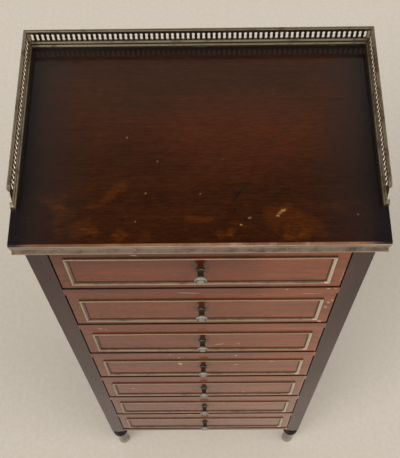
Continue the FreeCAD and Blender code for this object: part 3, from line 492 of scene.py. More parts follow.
def front_shade_and_grime(g, x, z, above, wood, tone):
    """Painted shade along the gaps of each drawer and on the lower edge of the bottom rail; grime and a
    painted reflection above the knobs.
    """
    # Painted shade in the gaps under and over each drawer
    seam = above.rise(4.6 * MM, 1.2 * MM).most(above.rise(DRAWER_STEP - 4.2 * MM, DRAWER_STEP - 2.0 * MM))
    # Painted shade along the lower edge of the bottom rail
    seam = seam.most(z.rise(CASE_Z + 7.5 * MM, CASE_Z + 2.0 * MM))
    tone = g.mix(seam * 0.82, tone, wood.grime_and_shade_tone)
    # Above each knob: handling grime and a painted reflection of the knob in the polish
    beside = x / (17 * MM)
    over = (above - (KNOB_UP + 12 * MM)) / (28 * MM)
    handled = (beside * beside + over * over).rise(1.0, 0.0)
    return g.mix(handled * 0.62, tone, wood.grime_and_shade_tone)


def front_wear(g, p, x, above, wood, tone):
    """Pale nicks, and rubbed upper and right-hand edges of the fronts."""
    torn = g.ragged(p, 700.0, 3.0, (4.4 * MM, 0.0, 2.8 * MM))
    tone = g.mix(g.blots(torn, on_front(NICKS)) * 0.85, tone, wood.bare_wood_and_glint)
    brow = above.rise(FRONT_TALL - 5.0 * MM, FRONT_TALL - 2.5 * MM)
    brow = brow * above.rise(FRONT_TALL + 1.0 * MM, FRONT_TALL)
    side = x.rise(FRONT_X - 3.2 * MM, FRONT_X - 1.6 * MM)
    patchy = g.noise(p, (21.0, 1.0, 6.0), 4.0, 0.6, shift=(2.2, 0.0, 0.0)).rise(0.42, 0.62)
    return g.mix(brow.most(side) * patchy * x.rise(-0.02, 0.14) * 0.60, tone, wood.bare_wood_and_glint)


def front_wood(name):
    """Red mahogany of the fronts and rails: grain, uneven polish with painted light, painted shade in the
    gaps, grime and a painted reflection by the knobs, wear.
    """
    wood, g, p = start_wood(name)
    x, _, z = g.parts(p)
    figure, fibre, pore = grain(g, p, "x")
    tone = front_grain(g, p, wood, figure, fibre)
    tone = front_fading(g, p, x, z, wood, tone)
    tone = g.mix(pore * 0.60, tone, wood.front_dark_grain_and_shadow)
    above = ((z - DRAWER_Z) / DRAWER_STEP).rest() * DRAWER_STEP
    tone = front_shade_and_grime(g, x, z, above, wood, tone)
    tone = front_wear(g, p, x, above, wood, tone)
    return polished(g, wood, p, tone, fibre, pore, tint=wood.front_sheen)


def post_wood(name):
    """Dark mahogany of the posts, grain upright."""
    wood, g, p = start_wood(name)
    figure, fibre, pore = grain(g, p, "z", 1.7)
    tone = g.mix(figure * 0.65 + fibre * 0.2, wood.post_tone, wood.post_light)
    tone = g.mix(pore * 0.5, tone, wood.grime_and_shade_tone)
    return polished(g, wood, p, tone, fibre, pore, wear=0.45, shine=0.5)


def panel_wood(name):
    """Mahogany of the side panels, grain upright with a broad flame."""
    wood, g, p = start_wood(name)
    figure, fibre, pore = grain(g, p, "z", 4.2)
    flame = g.noise(p, (9.0, 9.0, 0.9), 4.0, 0.55, 1.3, (0.4, 0.2, 0.0)).rise(0.36, 0.64)
    tone = g.mix(figure * 0.6, wood.panel_tone, wood.post_tone)
    tone = g.mix(flame * 0.35 + fibre * 0.2, tone, wood.front_tone)
    tone = g.mix(pore * 0.5, tone, wood.grime_and_shade_tone)
    return polished(g, wood, p, tone, fibre, pore, wear=0.35)


# Marks on the top: x, y, half length and half width in mm, turn in radians
WORN = (
    (-113, -80, 34, 13, 0.7), (-182, -101, 28, 16, -0.3), (-149, -124, 30, 16, 0.5), (-102, -136, 18, 8, 0.1),
    (-4, -118, 24, 7, 0.2), (37, -136, 24, 6, 0.0), (128, -127, 40, 18, -0.5), (92, -118, 30, 14, 0.3),
)
CHIPS = (
    (102.6, -106.8, 8.5, 2.6, 0.6), (97.4, -113.0, 3.0, 1.8, 0.0), (62.7, -115.3, 3.0, 1.6, 0.5),
    (51.3, -125.2, 1.8, 1.2, 0.2), (-94.2, 2.2, 1.7, 1.4, 0.0), (-53.7, -33.4, 1.3, 1.2, 0.0),
    (-68.0, -80.0, 1.5, 1.4, 0.0), (1.2, -81.4, 1.3, 1.2, 0.0), (-79.6, -119.8, 1.5, 1.4, 0.0),
    (197.2, -112.1, 1.3, 1.2, 0.0),
)
SCRATCHES = ((49.2, -81.8, 15.0, 2.2, 0.93), (44.0, -103.4, 5.5, 1.6, 0.8))
PATCH_DEEP = 20.0 * MM


def on_top(marks, deep):
    """Centre, radii and turn of marks on the top board."""
    return [
        ((x * MM, y * MM, TABLE_Z), (half * MM, thick * MM, deep), (0.0, 0.0, turn))
        for x, y, half, thick, turn in marks
    ]


def top_lip(g, p, x, y, wood, tone):
    """Rubbed wood and painted highlights along the front lip, paler in places towards the right."""
    patchy = g.noise(p, (24.0, 1.0, 1.0), 4.0, 0.6).rise(0.36, 0.62)
    lip = y.rise(LIP_Y + 2.6 * MM, LIP_Y + 1.6 * MM) * abs(x).rise(0.232, 0.200) * (0.55 + 0.45 * patchy)
    # Rubbed wood and a painted highlight along the lip, paler towards the right
    tone = g.mix(lip * (0.76 + 0.24 * x.rise(-0.20, 0.10)), tone, wood.lip_worn_and_lit)
    # Painted glints on the lip, towards the right
    bright = g.noise(p, (38.0, 4.0, 4.0), 4.0, 0.6, shift=(5.2, 0.0, 0.0)).rise(0.50, 0.64)
    return g.mix(lip * bright * x.rise(-0.10, 0.16) * 0.75, tone, wood.bare_wood_and_glint)


def top_wood(name):
    """Dark mahogany of the top: fine streaks, warm worn patches near the front, painted shade along the
    gallery, a lip rubbed and painted lit, chips and two scratches.
    """
    wood, g, p = start_wood(name)
    x, y, _ = g.parts(p)
    figure, fibre, pore = grain(g, p, "x", 0.6)
    flake = g.noise(p, (75.0, 420.0, 75.0), 3.0, 0.62, 0.6, (0.0, 1.9, 0.0)).rise(0.36, 0.64)
    streaky = g.noise(p, (26.0, 420.0, 26.0), 3.0, 0.6).rise(0.30, 0.75)
    patchy = g.noise(p, (30.0, 46.0, 30.0), 4.0, 0.62, 0.6).rise(0.52, 0.70)
    broad = g.noise(p, (5.0, 9.0, 5.0), 4.0, 0.6, 0.5).rise(0.36, 0.66)

    tone = g.mix(figure * 0.45 + fibre * 0.55, wood.top_dark, wood.top_tone)
    tone = g.dim(tone, (1.0 - 0.34 * y.rise(0.03, -0.06)) * (0.78 + 0.44 * flake))
    glow = g.blot(p, (0.064, 0.012, TABLE_Z), (0.150, 0.085, PATCH_DEEP))
    tone = g.mix(glow * (0.20 + 0.20 * flake), tone, wood.top_glow)

    loose = g.ragged(p, 26.0, 4.0, (0.07, 0.05, 0.0))
    worn = g.blots(loose, on_top(WORN, PATCH_DEEP))
    thin = worn * (0.36 + 0.50 * patchy) + y.rise(-0.02, -0.14) * patchy * 0.26 + broad * 0.12
    tone = g.mix(thin * (0.30 + 0.55 * streaky + 0.35 * flake), tone, wood.top_worn)

    tone = g.mix((abs(x).rise(0.12, 0.215) * 0.75).most(y.rise(-0.01, 0.06) * 0.30), tone, wood.top_sides)
    # Painted shadow and reflection of the gallery along its foot
    by_gallery = abs(x).rise(0.200, 0.228).most(y.rise(0.118, 0.146))
    tone = g.mix(by_gallery * 0.85, tone, wood.top_shade_and_scratch)
    tone = g.mix(pore * 0.45, tone, wood.top_dark)
    tone = top_lip(g, p, x, y, wood, tone)

    torn = g.ragged(p, 420.0, 3.0, (6.0 * MM, 4.0 * MM, 0.0))
    tone = g.mix(g.blots(torn, on_top(CHIPS, MARK_DEEP)) * (0.30 + 0.55 * streaky), tone, wood.chip_tone)
    tone = g.mix(g.blots(torn, on_top(SCRATCHES, MARK_DEEP)), tone, wood.top_shade_and_scratch)
    return polished(
        g, wood, p, tone, fibre, pore, wear=0.60, haze=0.08, shine=1.7, tint=wood.top_sheen, specks=0.05
    )


def leg_wood(name):
    """Ebonised wood of the turned legs: nearly black, high polish, brown where it is rubbed."""
    wood, g, p = start_wood(name)
    figure, fibre, pore = grain(g, p, "z", 2.9)
    tone = g.mix(figure * 0.5 + fibre * 0.2, wood.leg_tone, wood.post_tone)
    return polished(g, wood, p, tone, fibre, pore, wear=0.30)


CORNER_REACH = 12.0 * MM
LINING_EASE = 0.7 * MM
LINING_RELIEF = 0.12 * MM
BACK_RELIEF = 0.1 * MM


def lining_wood(name, axis):
    """Pale unpolished wood inside: growth lines, a little grey with handling."""
    wood, g, p = start_wood(name)
    figure, fibre, pore = grain(g, p, axis, 6.1)
    tone = g.mix(figure * 0.55 + fibre * 0.25, wood.lining_tone, shaded(wood.lining_tone, 0.52))
    dust = g.noise(p, 14.0, 4.0, 0.62).rise(0.42, 0.72)
    tone = g.mix(dust * 0.35, tone, wood.lining_dust)
    # Darker into the corners, by how closed in each point is
    tone = g.mix(g.corner(CORNER_REACH).rise(0.75, 0.25) * 0.75, tone, wood.lining_corner_tone)
    normal = g.bump(fibre * 0.5 - pore, LINING_RELIEF, g.eased(LINING_EASE))
    return g.surface({"Base Color": tone, "Roughness": 0.55 + 0.2 * fibre, "IOR": 1.45, "Normal": normal})


def side_lining(name):
    """Pale wood with its grain from front to back."""
    return lining_wood(name, "y")


def bottom_lining(name):
    """Pale wood with its grain from side to side."""
    return lining_wood(name, "x")


def back_wood(name):
    """Plain stained wood of the back panel."""
    wood, g, p = start_wood(name)
    figure, fibre, pore = grain(g, p, "z", 8.3)
    tone = g.mix(figure * 0.7 + fibre * 0.3, wood.back_tone, shaded(wood.back_tone, 0.5))
    dust = g.noise(p, 7.0, 4.0, 0.62).rise(0.45, 0.75)
    tone = g.mix(dust * 0.25, tone, wood.back_dust)
    # Darker into the corners, by how closed in each point is
    tone = g.mix(g.corner(CORNER_REACH).rise(0.75, 0.25) * 0.8, tone, wood.grime_and_shade_tone)
    normal = g.bump(fibre * 0.5 - pore, BACK_RELIEF)
    return g.surface({"Base Color": tone, "Roughness": 0.5 + 0.2 * fibre, "IOR": 1.45, "Normal": normal})


BRASS_EASE = 0.4 * MM
BRASS_WEAR = 0.9 * MM
BRASS_RELIEF = 0.06 * MM
WARMER = (0.86, 0.80, 0.70)


def brass(name, tone, skin, reach, green=0.0, more_skin_and_shade=None, dark=None, highlights=None, bare=1.0):
    """Old brass: rubbed bright on the crests, a brown skin in the hollows, fine scratches, spots of bloom.

    skin is the weight of the clouds of skin, reach the size of the hollows, green the strength of the
    bloom, dark the skin's colour and bare how metallic the unstained brass is. more_skin_and_shade and
    highlights are functions for more skin, with painted shade in places, and for painted highlights.
    """
    look = bpy.context.scene.semainier_brass
    g = Finish(name)
    p = g.place()
    cloud = g.noise(p, 45.0, 5.0, 0.65, 0.4)
    spots = g.noise(p, 420.0, 3.0, 0.6)
    hair = g.noise(p, 900.0, 2.0, 0.6)
    hollow = g.corner(reach, samples=6).rise(0.92, 0.35)
    dull = hollow * 0.85 + cloud.rise(0.42, 0.74) * skin + spots.rise(0.60, 0.74) * 0.35
    # More skin, with painted shade where the given function paints it
    if more_skin_and_shade is not None:
        dull = dull + 1.1 * more_skin_and_shade(g, p)
    crest = g.rubbed(BRASS_WEAR).rise(0.03, 0.22)
    dull = dull.rise(0.0, 1.15) * (1.0 - 0.7 * crest)
    warm = g.mix(cloud, tone, tuple(channel * part for channel, part in zip(tone, WARMER)))
    base = g.mix(dull * 0.94, warm, look.tarnish_and_shade if dark is None else dark)
    # Painted highlights, in the colour of rubbed brass
    if highlights is not None:
        base = g.mix(highlights(g, p), base, look.rubbed)
    metal = bare + (0.75 - bare) * dull
    if green:
        bloom = cloud.rise(0.52, 0.66) * hollow * green
        base = g.mix(bloom, base, look.verdigris)
        metal = metal - 0.6 * bloom
    rough = look.gloss + 0.3 * (1.0 - bare) + 0.26 * dull + 0.10 * hair.rise(0.4, 0.7)
    normal = g.bump(hair * 0.25 + spots * 0.35, BRASS_RELIEF, g.eased(BRASS_EASE))
    return g.surface({"Base Color": base, "Metallic": metal, "Roughness": rough, "Normal": normal})


def gallery_stain(g, p):
    """Skin on the gallery: heavier on the length at the right."""
    return g.parts(p)[0].rise(GALLERY_X - 4.0 * MM, GALLERY_X) * 0.26


def gallery_slot_highlight(g, p):
    """Painted highlight on the walls of the slots in the gallery's side lengths: at the band's height, on
    faces turned from x.
    """
    x, _, z = g.parts(p)
    level = z - TABLE_Z
    band = level.rise(10.5 * MM, 11.5 * MM) * level.rise(27.0 * MM, 26.0 * MM)
    at_side = abs(x).rise(GALLERY_X - 0.2 * MM, GALLERY_X + 0.2 * MM)
    return band * at_side * abs(g.parts(g.facing())[0]).rise(0.8, 0.4)


# Where a finish comes in or fades on the way over a frame strip, as shares from outer to inner foot
OUTER_FOOT = (0.152, 0.088)
COVE = (0.465, 0.593)
FILLET = (0.745, 0.86)
INNER_BAND = (0.70, 0.76)
# Painted highlight on the upright strips at the right
HIGHLIGHT_START = (0.24, 0.34)
HIGHLIGHT_END = (0.73, 0.67)


def over_strip(g):
    """The share of the way over a strip, which its mesh holds."""
    return g.node("ShaderNodeAttribute", {"attribute_name": "across"}, output=2)


def right_strip(g, p):
    """1 on the upright strips at the right of the frames, 0 elsewhere."""
    return g.parts(p)[0].rise(FRAME_X - 8.5 * MM, FRAME_X - 6.0 * MM)


def trim_skin_and_shade(g, p):
    """Skin and painted shade on a frame strip: at the outer foot, in the cove, on the fillet; an inner band
    at the right.
    """
    across = over_strip(g)
    at_right = right_strip(g, p)
    film = 0.62 * across.rise(*COVE) + 0.38 * across.rise(*FILLET)
    film = film * (1.0 - at_right) + at_right * across.rise(*INNER_BAND) * 0.95
    return across.rise(*OUTER_FOOT).most(film)


def trim_right_highlight(g, p):
    """Painted highlight from the crest to the cove of the upright strips at the right."""
    across = over_strip(g)
    return right_strip(g, p) * across.rise(*HIGHLIGHT_START) * across.rise(*HIGHLIGHT_END) * 0.62


def knob_skin_and_shade(g, p):
    """Skin and painted shade on a knob: nearly black round the neck, thinner on the ring against the wood."""
    out = (DRAWER_Y - g.parts(p)[1]) / KNOB_REACH
    return out.rise(0.64, 0.57) * (0.42 + 0.58 * out.rise(0.09, 0.15))


def edge_stain(g, p):
    """Skin on the brass edge: a thin line on each side of the small bead, a film in the hollow."""
    level = g.parts(p)[2] - EDGE_Z
    above_bead = abs(level - 20.0 * MM).rise(0.80 * MM, 0.24 * MM)
    below_bead = abs(level - 17.2 * MM).rise(0.70 * MM, 0.21 * MM)
    film = level.rise(2.4 * MM, 4.4 * MM) * level.rise(17.0 * MM, 13.0 * MM)
    return above_bead.most(below_bead).most(film * 0.50)


def edge_bead_highlight(g, p):
    """Painted highlights along the upper and lower beads of the brass edge, brighter to the right."""
    x, _, z = g.parts(p)
    level = z - EDGE_Z
    patchy = g.noise(p, (16.0, 1.0, 1.0), 4.0, 0.6).rise(0.34, 0.66)
    upper = level.rise(20.8 * MM, 22.2 * MM) * (0.20 + 0.70 * x.rise(-0.15, 0.10))
    lower = level.rise(3.0 * MM, 1.4 * MM) * x.rise(-0.08, 0.10) * 0.55
    return upper.most(lower) * patchy


def dress(names, material):
    """Gives CAD nodes a finish."""
    for name in names:
        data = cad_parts[name].data
        data.materials.clear()
        data.materials.append(material)


def flow(points, steps):
    """A smooth curve through points, each piece a cubic; a point given twice stays sharp.

    Between b and c, with a before and e after, the slope at each end is half the step across its neighbours.
    """
    q = np.asarray(points, float)
    q = np.vstack([q[:1], q, q[-1:]])
    apart = np.any(q[1:-2] != q[2:-1], axis=1)
    a, b, c, e = (q[k : len(q) - 3 + k][apart, None] for k in range(4))
    t = np.linspace(0.0, 1.0, steps, endpoint=False)[:, None]
    curve = 0.5 * (2 * b + (c - a) * t + (2 * a - 5 * b + 4 * c - e) * t**2 + (3 * b - a - 3 * c + e) * t**3)
    return np.vstack([curve.reshape(-1, q.shape[1]), q[-1:]])


def turned(profile, segments):
    """A turned surface: at each profile point a ring of that radius, x = r cos a, y = r sin a, z = h."""
    r, h = profile.T
    a = np.linspace(0.0, 2 * np.pi, segments, endpoint=False)
    return np.stack([np.outer(r, np.cos(a)), np.outer(r, np.sin(a)), np.outer(h, np.ones(segments))], axis=-1)


def strip(section, run, stations, wave, seed):
    """A mitred strip: the section (u across, v proud) carried along x from u to run - u.

    Two sines along x make the proud side gently wavy, by the square of its share of the height.
    """
    u, v = section.T
    t = np.linspace(0.0, 1.0, stations)[:, None]
    x = u + t * (run - 2 * u)
    sway = wave * (np.sin(41.0 * x + seed) + 0.6 * np.sin(97.0 * x + 2.3 * seed))
    lifted = v + sway * (v / v.max()) ** 2
    return np.stack([x, np.broadcast_to(u, x.shape), lifted], axis=-1)


def shell(grids):
    """Corners and faces of closed tubes: each grid wraps in its second direction, with a cap at each end."""
    corners = []
    faces = []
    start = 0
    for grid in grids:
        m, n = grid.shape[:2]
        i, j = np.meshgrid(np.arange(m - 1), np.arange(n), indexing="ij")
        k = (j + 1) % n
        quads = np.stack([i * n + j, i * n + k, (i + 1) * n + k, (i + 1) * n + j], axis=-1).reshape(-1, 4)
        faces += (quads + start).tolist()
        ring = np.arange(n)
        faces.append((ring[::-1] + start).tolist())
        faces.append((ring + (m - 1) * n + start).tolist())
        corners.append(grid.reshape(-1, 3))
        start += m * n
    return np.vstack(corners), faces


TURNED_SHARP = 30.0
STRIP_SHARP = 35.0


def piece(name, grids, material, body, nodes, sharp=TURNED_SHARP, across=None):
    """Makes an object at the origin from closed tubes, turns its faces outwards and lets it ride on a body.

    Edges above sharp, in degrees, stay crisp; across is each corner's share of the way over a strip.
    """
    corners, faces = shell(grids)
    mesh = bpy.data.meshes.new(name)
    mesh.from_pydata(corners.tolist(), [], faces)
    work = bmesh.new()
    work.from_mesh(mesh)
    bmesh.ops.recalc_face_normals(work, faces=work.faces)
    work.to_mesh(mesh)
    work.free()
    mesh.polygons.foreach_set("use_smooth", np.ones(len(mesh.polygons), dtype=bool))
    mesh.set_sharp_from_angle(angle=math.radians(sharp))
    if across is not None:
        shares = mesh.attributes.new("across", "FLOAT", "POINT")
        shares.data.foreach_set("value", across.astype(np.float32))
    mesh.materials.append(material)
    made = bpy.data.objects.new(name, mesh)
    bpy.context.scene.collection.objects.link(made)
    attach(made, body)
    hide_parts(*nodes)


class SEMAINIER_OT_top(bpy.types.Operator):
    """Finish the top board, its moulded brass edge and the pins that hold the edge"""

    bl_idname = "semainier.top"
    bl_label = "Top and brass edge"

    def execute(self, context):
        look = context.scene.semainier_brass
        dress(["top_board"], kept("top_polish", top_wood))
        edge = brass(
            "edge_metal", look.edge_tone, skin=0.40, reach=1.5 * MM,
            more_skin_and_shade=edge_stain, dark=look.film, highlights=edge_bead_highlight,
        )
        dress(["top_edge_brass"], edge)
        dress(["edge_pins"], brass("pin_metal", look.edge_tone, skin=0.5, reach=2.0 * MM))
        return {"FINISHED"}


class SEMAINIER_OT_gallery(bpy.types.Operator):
    """Finish the pierced brass gallery and its pins"""

    bl_idname = "semainier.gallery"
    bl_label = "Gallery"

    def execute(self, context):
        finish = brass(
            "gallery_metal", context.scene.semainier_brass.gallery_tone, skin=0.85, reach=6.0 * MM, green=0.7,
            more_skin_and_shade=gallery_stain, highlights=gallery_slot_highlight,
        )
        dress(["gallery_back", "gallery_left", "gallery_right", "gallery_pins"], finish)
        return {"FINISHED"}


class SEMAINIER_OT_case(bpy.types.Operator):
    """Finish the posts, rails, panels and the woodwork inside the case"""

    bl_idname = "semainier.case"
    bl_label = "Case"

    def execute(self, context):
        posts = [f"post_{row}_{side}" for row in ("front", "back") for side in ("left", "right")]
        dress(posts, kept("post_polish", post_wood))
        dress(["side_panel_left", "side_panel_right"], kept("panel_polish", panel_wood))
        dress(["back_panel"], kept("back_stain", back_wood))
        dress(["top_rail", "bottom_rail", "drawer_rails"], kept("front_polish", front_wood))
        dress(["drawer_runners", "drawer_guides", "drawer_stops"], kept("lining_plain", side_lining))
        return {"FINISHED"}


class SEMAINIER_OT_drawers(bpy.types.Operator):
    """Finish the drawer fronts, their dovetailed boxes and bottoms"""

    bl_idname = "semainier.drawers"
    bl_label = "Drawers"

    def execute(self, context):
        dress([f"drawer_{n}_front" for n in DRAWERS], kept("front_polish", front_wood))
        dress([f"drawer_{n}_box" for n in DRAWERS], kept("lining_plain", side_lining))
        dress([f"drawer_{n}_bottom" for n in DRAWERS], kept("lining_bottom", bottom_lining))
        return {"FINISHED"}


# Section of a frame strip, as shares of its width and height
STRIP_SECTION = (
    # Outer wall and round crest
    (0.0, 0.0), (0.0, 0.0), (0.0, 0.74), (0.03, 0.87), (0.11, 0.965), (0.225, 1.0), (0.34, 0.965),
    # Cove
    (0.45, 0.84), (0.51, 0.68), (0.60, 0.53), (0.72, 0.43), (0.79, 0.42), (0.79, 0.42),
    # Quirk, fillet and inner wall
    (0.80, 0.36), (0.83, 0.36), (0.84, 0.40), (0.84, 0.40), (0.96, 0.40), (1.0, 0.36), (1.0, 0.36),
    (1.0, 0.0), (1.0, 0.0),
)
STRIP_STEPS = 3
STRIP_STATIONS = 36


class SEMAINIER_OT_frames(bpy.types.Operator):
    """Lay a frame of four mitred brass strips on each drawer front"""

    bl_idname = "semainier.frames"
    bl_label = "Brass frames"

    def execute(self, context):
        shape = context.scene.semainier_shape
        finish = brass(
            "trim_metal", context.scene.semainier_brass.trim_tone, skin=0.35, reach=2.0 * MM,
            more_skin_and_shade=trim_skin_and_shade, highlights=trim_right_highlight,
        )
        for n in DRAWERS:
            low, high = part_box(f"drawer_{n}_trim")
            section = flow(STRIP_SECTION, STRIP_STEPS) * (shape.strip_width, high.y - low.y)
            wide = high.x - low.x
            tall = high.z - low.z
            # Each side's length, first corner, way along and way inwards, in x and z
            sides = (
                (wide, (low.x, low.z), (1, 0), (0, 1)),
                (tall, (high.x, low.z), (0, 1), (-1, 0)),
                (wide, (high.x, high.z), (-1, 0), (0, -1)),
                (tall, (low.x, high.z), (0, -1), (1, 0)),
            )
            strips = []
            for k, (run, first, ahead, inward) in enumerate(sides):
                local = strip(section, run, STRIP_STATIONS, shape.strip_wave, 1.7 * n + k)
                flat = np.array(first) + local[..., :1] * np.array(ahead) + local[..., 1:2] * np.array(inward)
                strips.append(np.stack([flat[..., 0], high.y - local[..., 2], flat[..., 1]], axis=-1))
            steps = np.linalg.norm(np.diff(section, axis=0), axis=1)
            walked = np.concatenate([[0.0], np.cumsum(steps)])
            over = np.tile(walked / walked[-1], STRIP_STATIONS * len(sides))
            piece(
                f"brass_frame_{n}", strips, finish, f"drawer_{n}", [f"drawer_{n}_trim"],
                sharp=STRIP_SHARP, across=over,
            )
        return {"FINISHED"}


# Profile of a knob, as shares of its radius and of its reach from the wood
KNOB_PROFILE = (
    # Stud in the wood
    (0.02, -0.55), (0.27, -0.55), (0.27, -0.55), (0.27, 0.0), (0.27, 0.0),
    # Ring against the wood
    (0.66, 0.0), (0.66, 0.0), (0.70, 0.03), (0.70, 0.08), (0.65, 0.12), (0.58, 0.125), (0.58, 0.125),
    # Waisted neck
    (0.52, 0.16), (0.48, 0.22), (0.47, 0.30), (0.48, 0.43), (0.53, 0.54), (0.56, 0.57), (0.56, 0.57),
    # Rim of the head
    (0.80, 0.62), (0.95, 0.70), (1.00, 0.76), (0.985, 0.82), (0.93, 0.875), (0.87, 0.905), (0.82, 0.905),
    (0.82, 0.905),
    # Groove inside the rim
    (0.77, 0.85), (0.70, 0.84), (0.64, 0.865), (0.64, 0.865),
    # Domed face with a fine ring
    (0.60, 0.94), (0.53, 0.96), (0.53, 0.96), (0.485, 0.94), (0.44, 0.955), (0.44, 0.955), (0.30, 0.983),
    (0.14, 0.999), (0.02, 1.0),
)
KNOB_STEPS = 4


class SEMAINIER_OT_knobs(bpy.types.Operator):
    """Turn a brass knob for each drawer: ring, waisted neck, head with a rim and a domed face"""

    bl_idname = "semainier.knobs"
    bl_label = "Knobs"

    def execute(self, context):
        look = context.scene.semainier_brass
        finish = brass(
            "knob_metal", look.knob_tone, skin=0.3, reach=4.0 * MM,
            more_skin_and_shade=knob_skin_and_shade, dark=look.neck_soot_and_shade, bare=0.45,
        )
        for n in DRAWERS:
            low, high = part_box(f"drawer_{n}_knob")
            middle = (low + high) / 2
            profile = flow(KNOB_PROFILE, KNOB_STEPS) * ((high.x - low.x) / 2, DRAWER_Y - low.y)
            side, up, out = np.moveaxis(turned(profile, context.scene.semainier_shape.turns), -1, 0)
            knob = np.stack([side + middle.x, DRAWER_Y - out, up + middle.z], axis=-1)
            piece(f"knob_{n}", [knob], finish, f"drawer_{n}", [f"drawer_{n}_knob"])
        return {"FINISHED"}


# Profiles of a leg and its shoe: radius and height in millimetres
LEG_PROFILE = (
    # Tenon in the shoe
    (9.0, 12.0), (9.0, 24.15), (9.0, 24.15),
    # Tapered shaft and the quirk under the ring
    (11.4, 24.15), (11.4, 24.15), (11.6, 26.0), (13.2, 62.0), (14.6, 96.0), (15.0, 101.0), (15.0, 101.0),
    (14.3, 101.8), (14.3, 102.6), (14.3, 102.6),
    # Ring
    (15.9, 103.0), (17.5, 104.6), (18.0, 107.0), (17.5, 109.4), (15.9, 111.0), (15.9, 111.0),
    # Step and waisted neck
    (13.6, 111.4), (12.5, 112.6), (12.5, 112.6), (11.1, 118.0), (10.5, 125.5), (11.1, 133.0), (12.5, 138.4),
    (12.5, 138.4),
    # Collar under the post
    (12.9, 139.0), (12.9, 139.0), (13.6, 140.0), (13.6, 146.2), (13.3, 147.0), (13.3, 147.0),
    # Tenon in the post
    (5.5, 147.0), (5.5, 147.0), (5.5, 158.0),
)
SHOE_PROFILE = (
    # Sole and foot ring
    (0.2, 0.0), (11.9, 0.0), (11.9, 0.0), (12.8, 0.6), (13.0, 1.6), (13.0, 5.6), (12.9, 6.8), (12.4, 7.6),
    (12.4, 7.6), (12.4, 8.6), (12.4, 8.6),
    # Straight cup
    (11.6, 10.4), (11.5, 12.0), (11.5, 20.4), (11.5, 20.4),
    # Bead
    (11.9, 20.8), (12.1, 21.8), (11.9, 22.9), (11.5, 23.3), (11.5, 23.3),
    # Rim and socket
    (11.4, 24.0), (11.4, 24.0), (9.1, 24.0), (9.1, 24.0), (9.1, 13.0),
)
LEG_STEPS = 5


class SEMAINIER_OT_legs(bpy.types.Operator):
    """Turn the four legs and their brass shoes"""

    bl_idname = "semainier.legs"
    bl_label = "Legs and shoes"

    def execute(self, context):
        turns = context.scene.semainier_shape.turns
        ebony = kept("leg_polish", leg_wood)
        leg = turned(MM * flow(LEG_PROFILE, LEG_STEPS), turns)
        shoe = turned(MM * flow(SHOE_PROFILE, LEG_STEPS), turns)
        shoes = []
        for name in LEGS:
            low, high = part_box(name)
            middle = (low + high) / 2
            at = np.array((middle.x, middle.y, 0.0))
            piece(f"turned_{name}", [leg + at], ebony, "case", [name])
            shoes.append(shoe + at)
        metal = brass("shoe_metal", context.scene.semainier_brass.shoe_tone, skin=0.5, reach=4.0 * MM)
        piece("leg_shoes", shoes, metal, "case", ["leg_sabots"])
        return {"FINISHED"}


FLOOR_HALF = 60.0
SENSOR_WIDTH = 36.0
VIEW_NEAR = 0.05
VIEW_FAR = 200.0


def lay_floor(scene, look):
    """A plain pale floor that fills the view from every side."""
    mesh = bpy.data.meshes.new("floor")
    corners = [(x * FLOOR_HALF, y * FLOOR_HALF, 0.0) for x, y in ((-1, -1), (1, -1), (1, 1), (-1, 1))]
    mesh.from_pydata(corners, [], [(0, 1, 2, 3)])
    g = Finish("floor")
    speck = g.noise(g.place(), 90.0, 4.0, 0.65).rise(0.3, 0.7)
    tone = g.mix(speck, look.floor_tone, shaded(look.floor_tone, 0.93))
    mesh.materials.append(g.surface({"Base Color": tone, "Roughness": 0.95, "Specular IOR Level": 0.1}))
    floor = bpy.data.objects.new("floor", mesh)
    scene.collection.objects.link(floor)


def light_room(scene, look):
    """Soft light from low all round, two broad lamps, and the floor's tone behind the piece."""
    world = bpy.data.worlds.new("room")
    world.use_nodes = True
    scene.world = world
    w = Nodes(world.node_tree)
    height = w.parts(w.node("ShaderNodeTexCoord"))[2]
    sky = w.mix(height.rise(0.66, 0.94), look.horizon, look.zenith)
    seen = w.node("ShaderNodeLightPath")
    light = w.node("ShaderNodeBackground", sockets={0: w.mix(seen, sky, look.floor_tone), 1: 1.0})
    w.node("ShaderNodeOutputWorld", sockets={0: light})

    # Name, strength, direction and width in degrees of each lamp
    for name, power, aim, width in (
        ("key", look.key_power, (0.62, 0.55, -1.0), 32.0),
        ("fill", look.fill_power, (-0.75, 0.35, -1.0), 42.0),
    ):
        lamp = bpy.data.lights.new(name, "SUN")
        lamp.energy = power
        lamp.angle = math.radians(width)
        holder = bpy.data.objects.new(name, lamp)
        holder.rotation_mode = "QUATERNION"
        holder.rotation_quaternion = Vector(aim).to_track_quat("-Z", "Y")
        scene.collection.objects.link(holder)


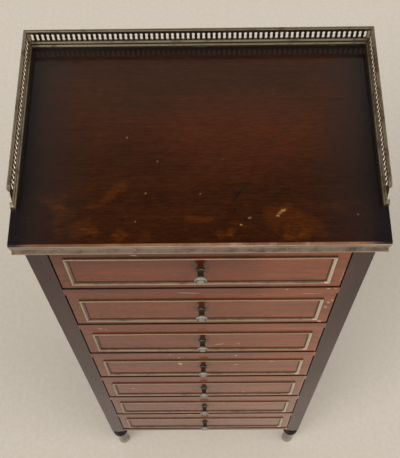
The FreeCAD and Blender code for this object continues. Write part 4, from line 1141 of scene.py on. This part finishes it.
def place_camera(scene, look):
    """A camera at the eye, turned by the yaw, tilted down by the pitch and rolled about the view."""
    level = math.cos(look.pitch)
    ahead = Vector((math.sin(look.yaw) * level, math.cos(look.yaw) * level, -math.sin(look.pitch)))
    right = Vector((math.cos(look.yaw), -math.sin(look.yaw), 0.0))
    down = ahead.cross(right)
    across = math.cos(look.roll) * right + math.sin(look.roll) * down
    below = math.cos(look.roll) * down - math.sin(look.roll) * right
    lens = bpy.data.cameras.new("camera")
    lens.lens = look.lens
    lens.sensor_width = SENSOR_WIDTH
    lens.clip_start = VIEW_NEAR
    lens.clip_end = VIEW_FAR
    camera = bpy.data.objects.new("camera", lens)
    turn = Matrix((across, -below, -ahead)).transposed()
    camera.matrix_world = Matrix.Translation(look.eye) @ turn.to_4x4()
    scene.collection.objects.link(camera)
    scene.camera = camera


class SEMAINIER_OT_stage(bpy.types.Operator):
    """Lay a pale floor, set the light and place the camera"""

    bl_idname = "semainier.stage"
    bl_label = "Stage"

    def execute(self, context):
        scene = context.scene
        look = scene.semainier_stage
        lay_floor(scene, look)
        light_room(scene, look)
        place_camera(scene, look)
        scene.view_settings.view_transform = "Standard"
        return {"FINISHED"}


STEPS = (
    SEMAINIER_OT_top, SEMAINIER_OT_gallery, SEMAINIER_OT_case, SEMAINIER_OT_drawers, SEMAINIER_OT_frames,
    SEMAINIER_OT_knobs, SEMAINIER_OT_legs, SEMAINIER_OT_stage,
)
LOOKS = {
    "semainier_wood": WoodLook, "semainier_brass": BrassLook, "semainier_shape": ShapeLook,
    "semainier_stage": StageLook,
}


class SEMAINIER_PT_panel(bpy.types.Panel):
    """Lists the steps and the looks"""

    bl_label = "Semainier"
    bl_idname = "SEMAINIER_PT_panel"
    bl_space_type = "VIEW_3D"
    bl_region_type = "UI"
    bl_category = "Semainier"

    def draw(self, context):
        for step in STEPS:
            self.layout.operator(step.bl_idname)
        for group, look in LOOKS.items():
            box = self.layout.box()
            for prop in look.__annotations__:
                box.prop(getattr(context.scene, group), prop)


def register():
    for look in LOOKS.values():
        bpy.utils.register_class(look)
    for group, look in LOOKS.items():
        setattr(bpy.types.Scene, group, PointerProperty(type=look))
    for step in STEPS:
        bpy.utils.register_class(step)
    bpy.utils.register_class(SEMAINIER_PT_panel)


def unregister():
    bpy.utils.unregister_class(SEMAINIER_PT_panel)
    for step in reversed(STEPS):
        bpy.utils.unregister_class(step)
    for group, look in LOOKS.items():
        delattr(bpy.types.Scene, group)
        bpy.utils.unregister_class(look)


def main():
    register()
    bpy.ops.semainier.top()
    bpy.ops.semainier.gallery()
    bpy.ops.semainier.case()
    bpy.ops.semainier.drawers()
    bpy.ops.semainier.frames()
    bpy.ops.semainier.knobs()
    bpy.ops.semainier.legs()
    bpy.ops.semainier.stage()


if __name__ == "__main__":
    main()
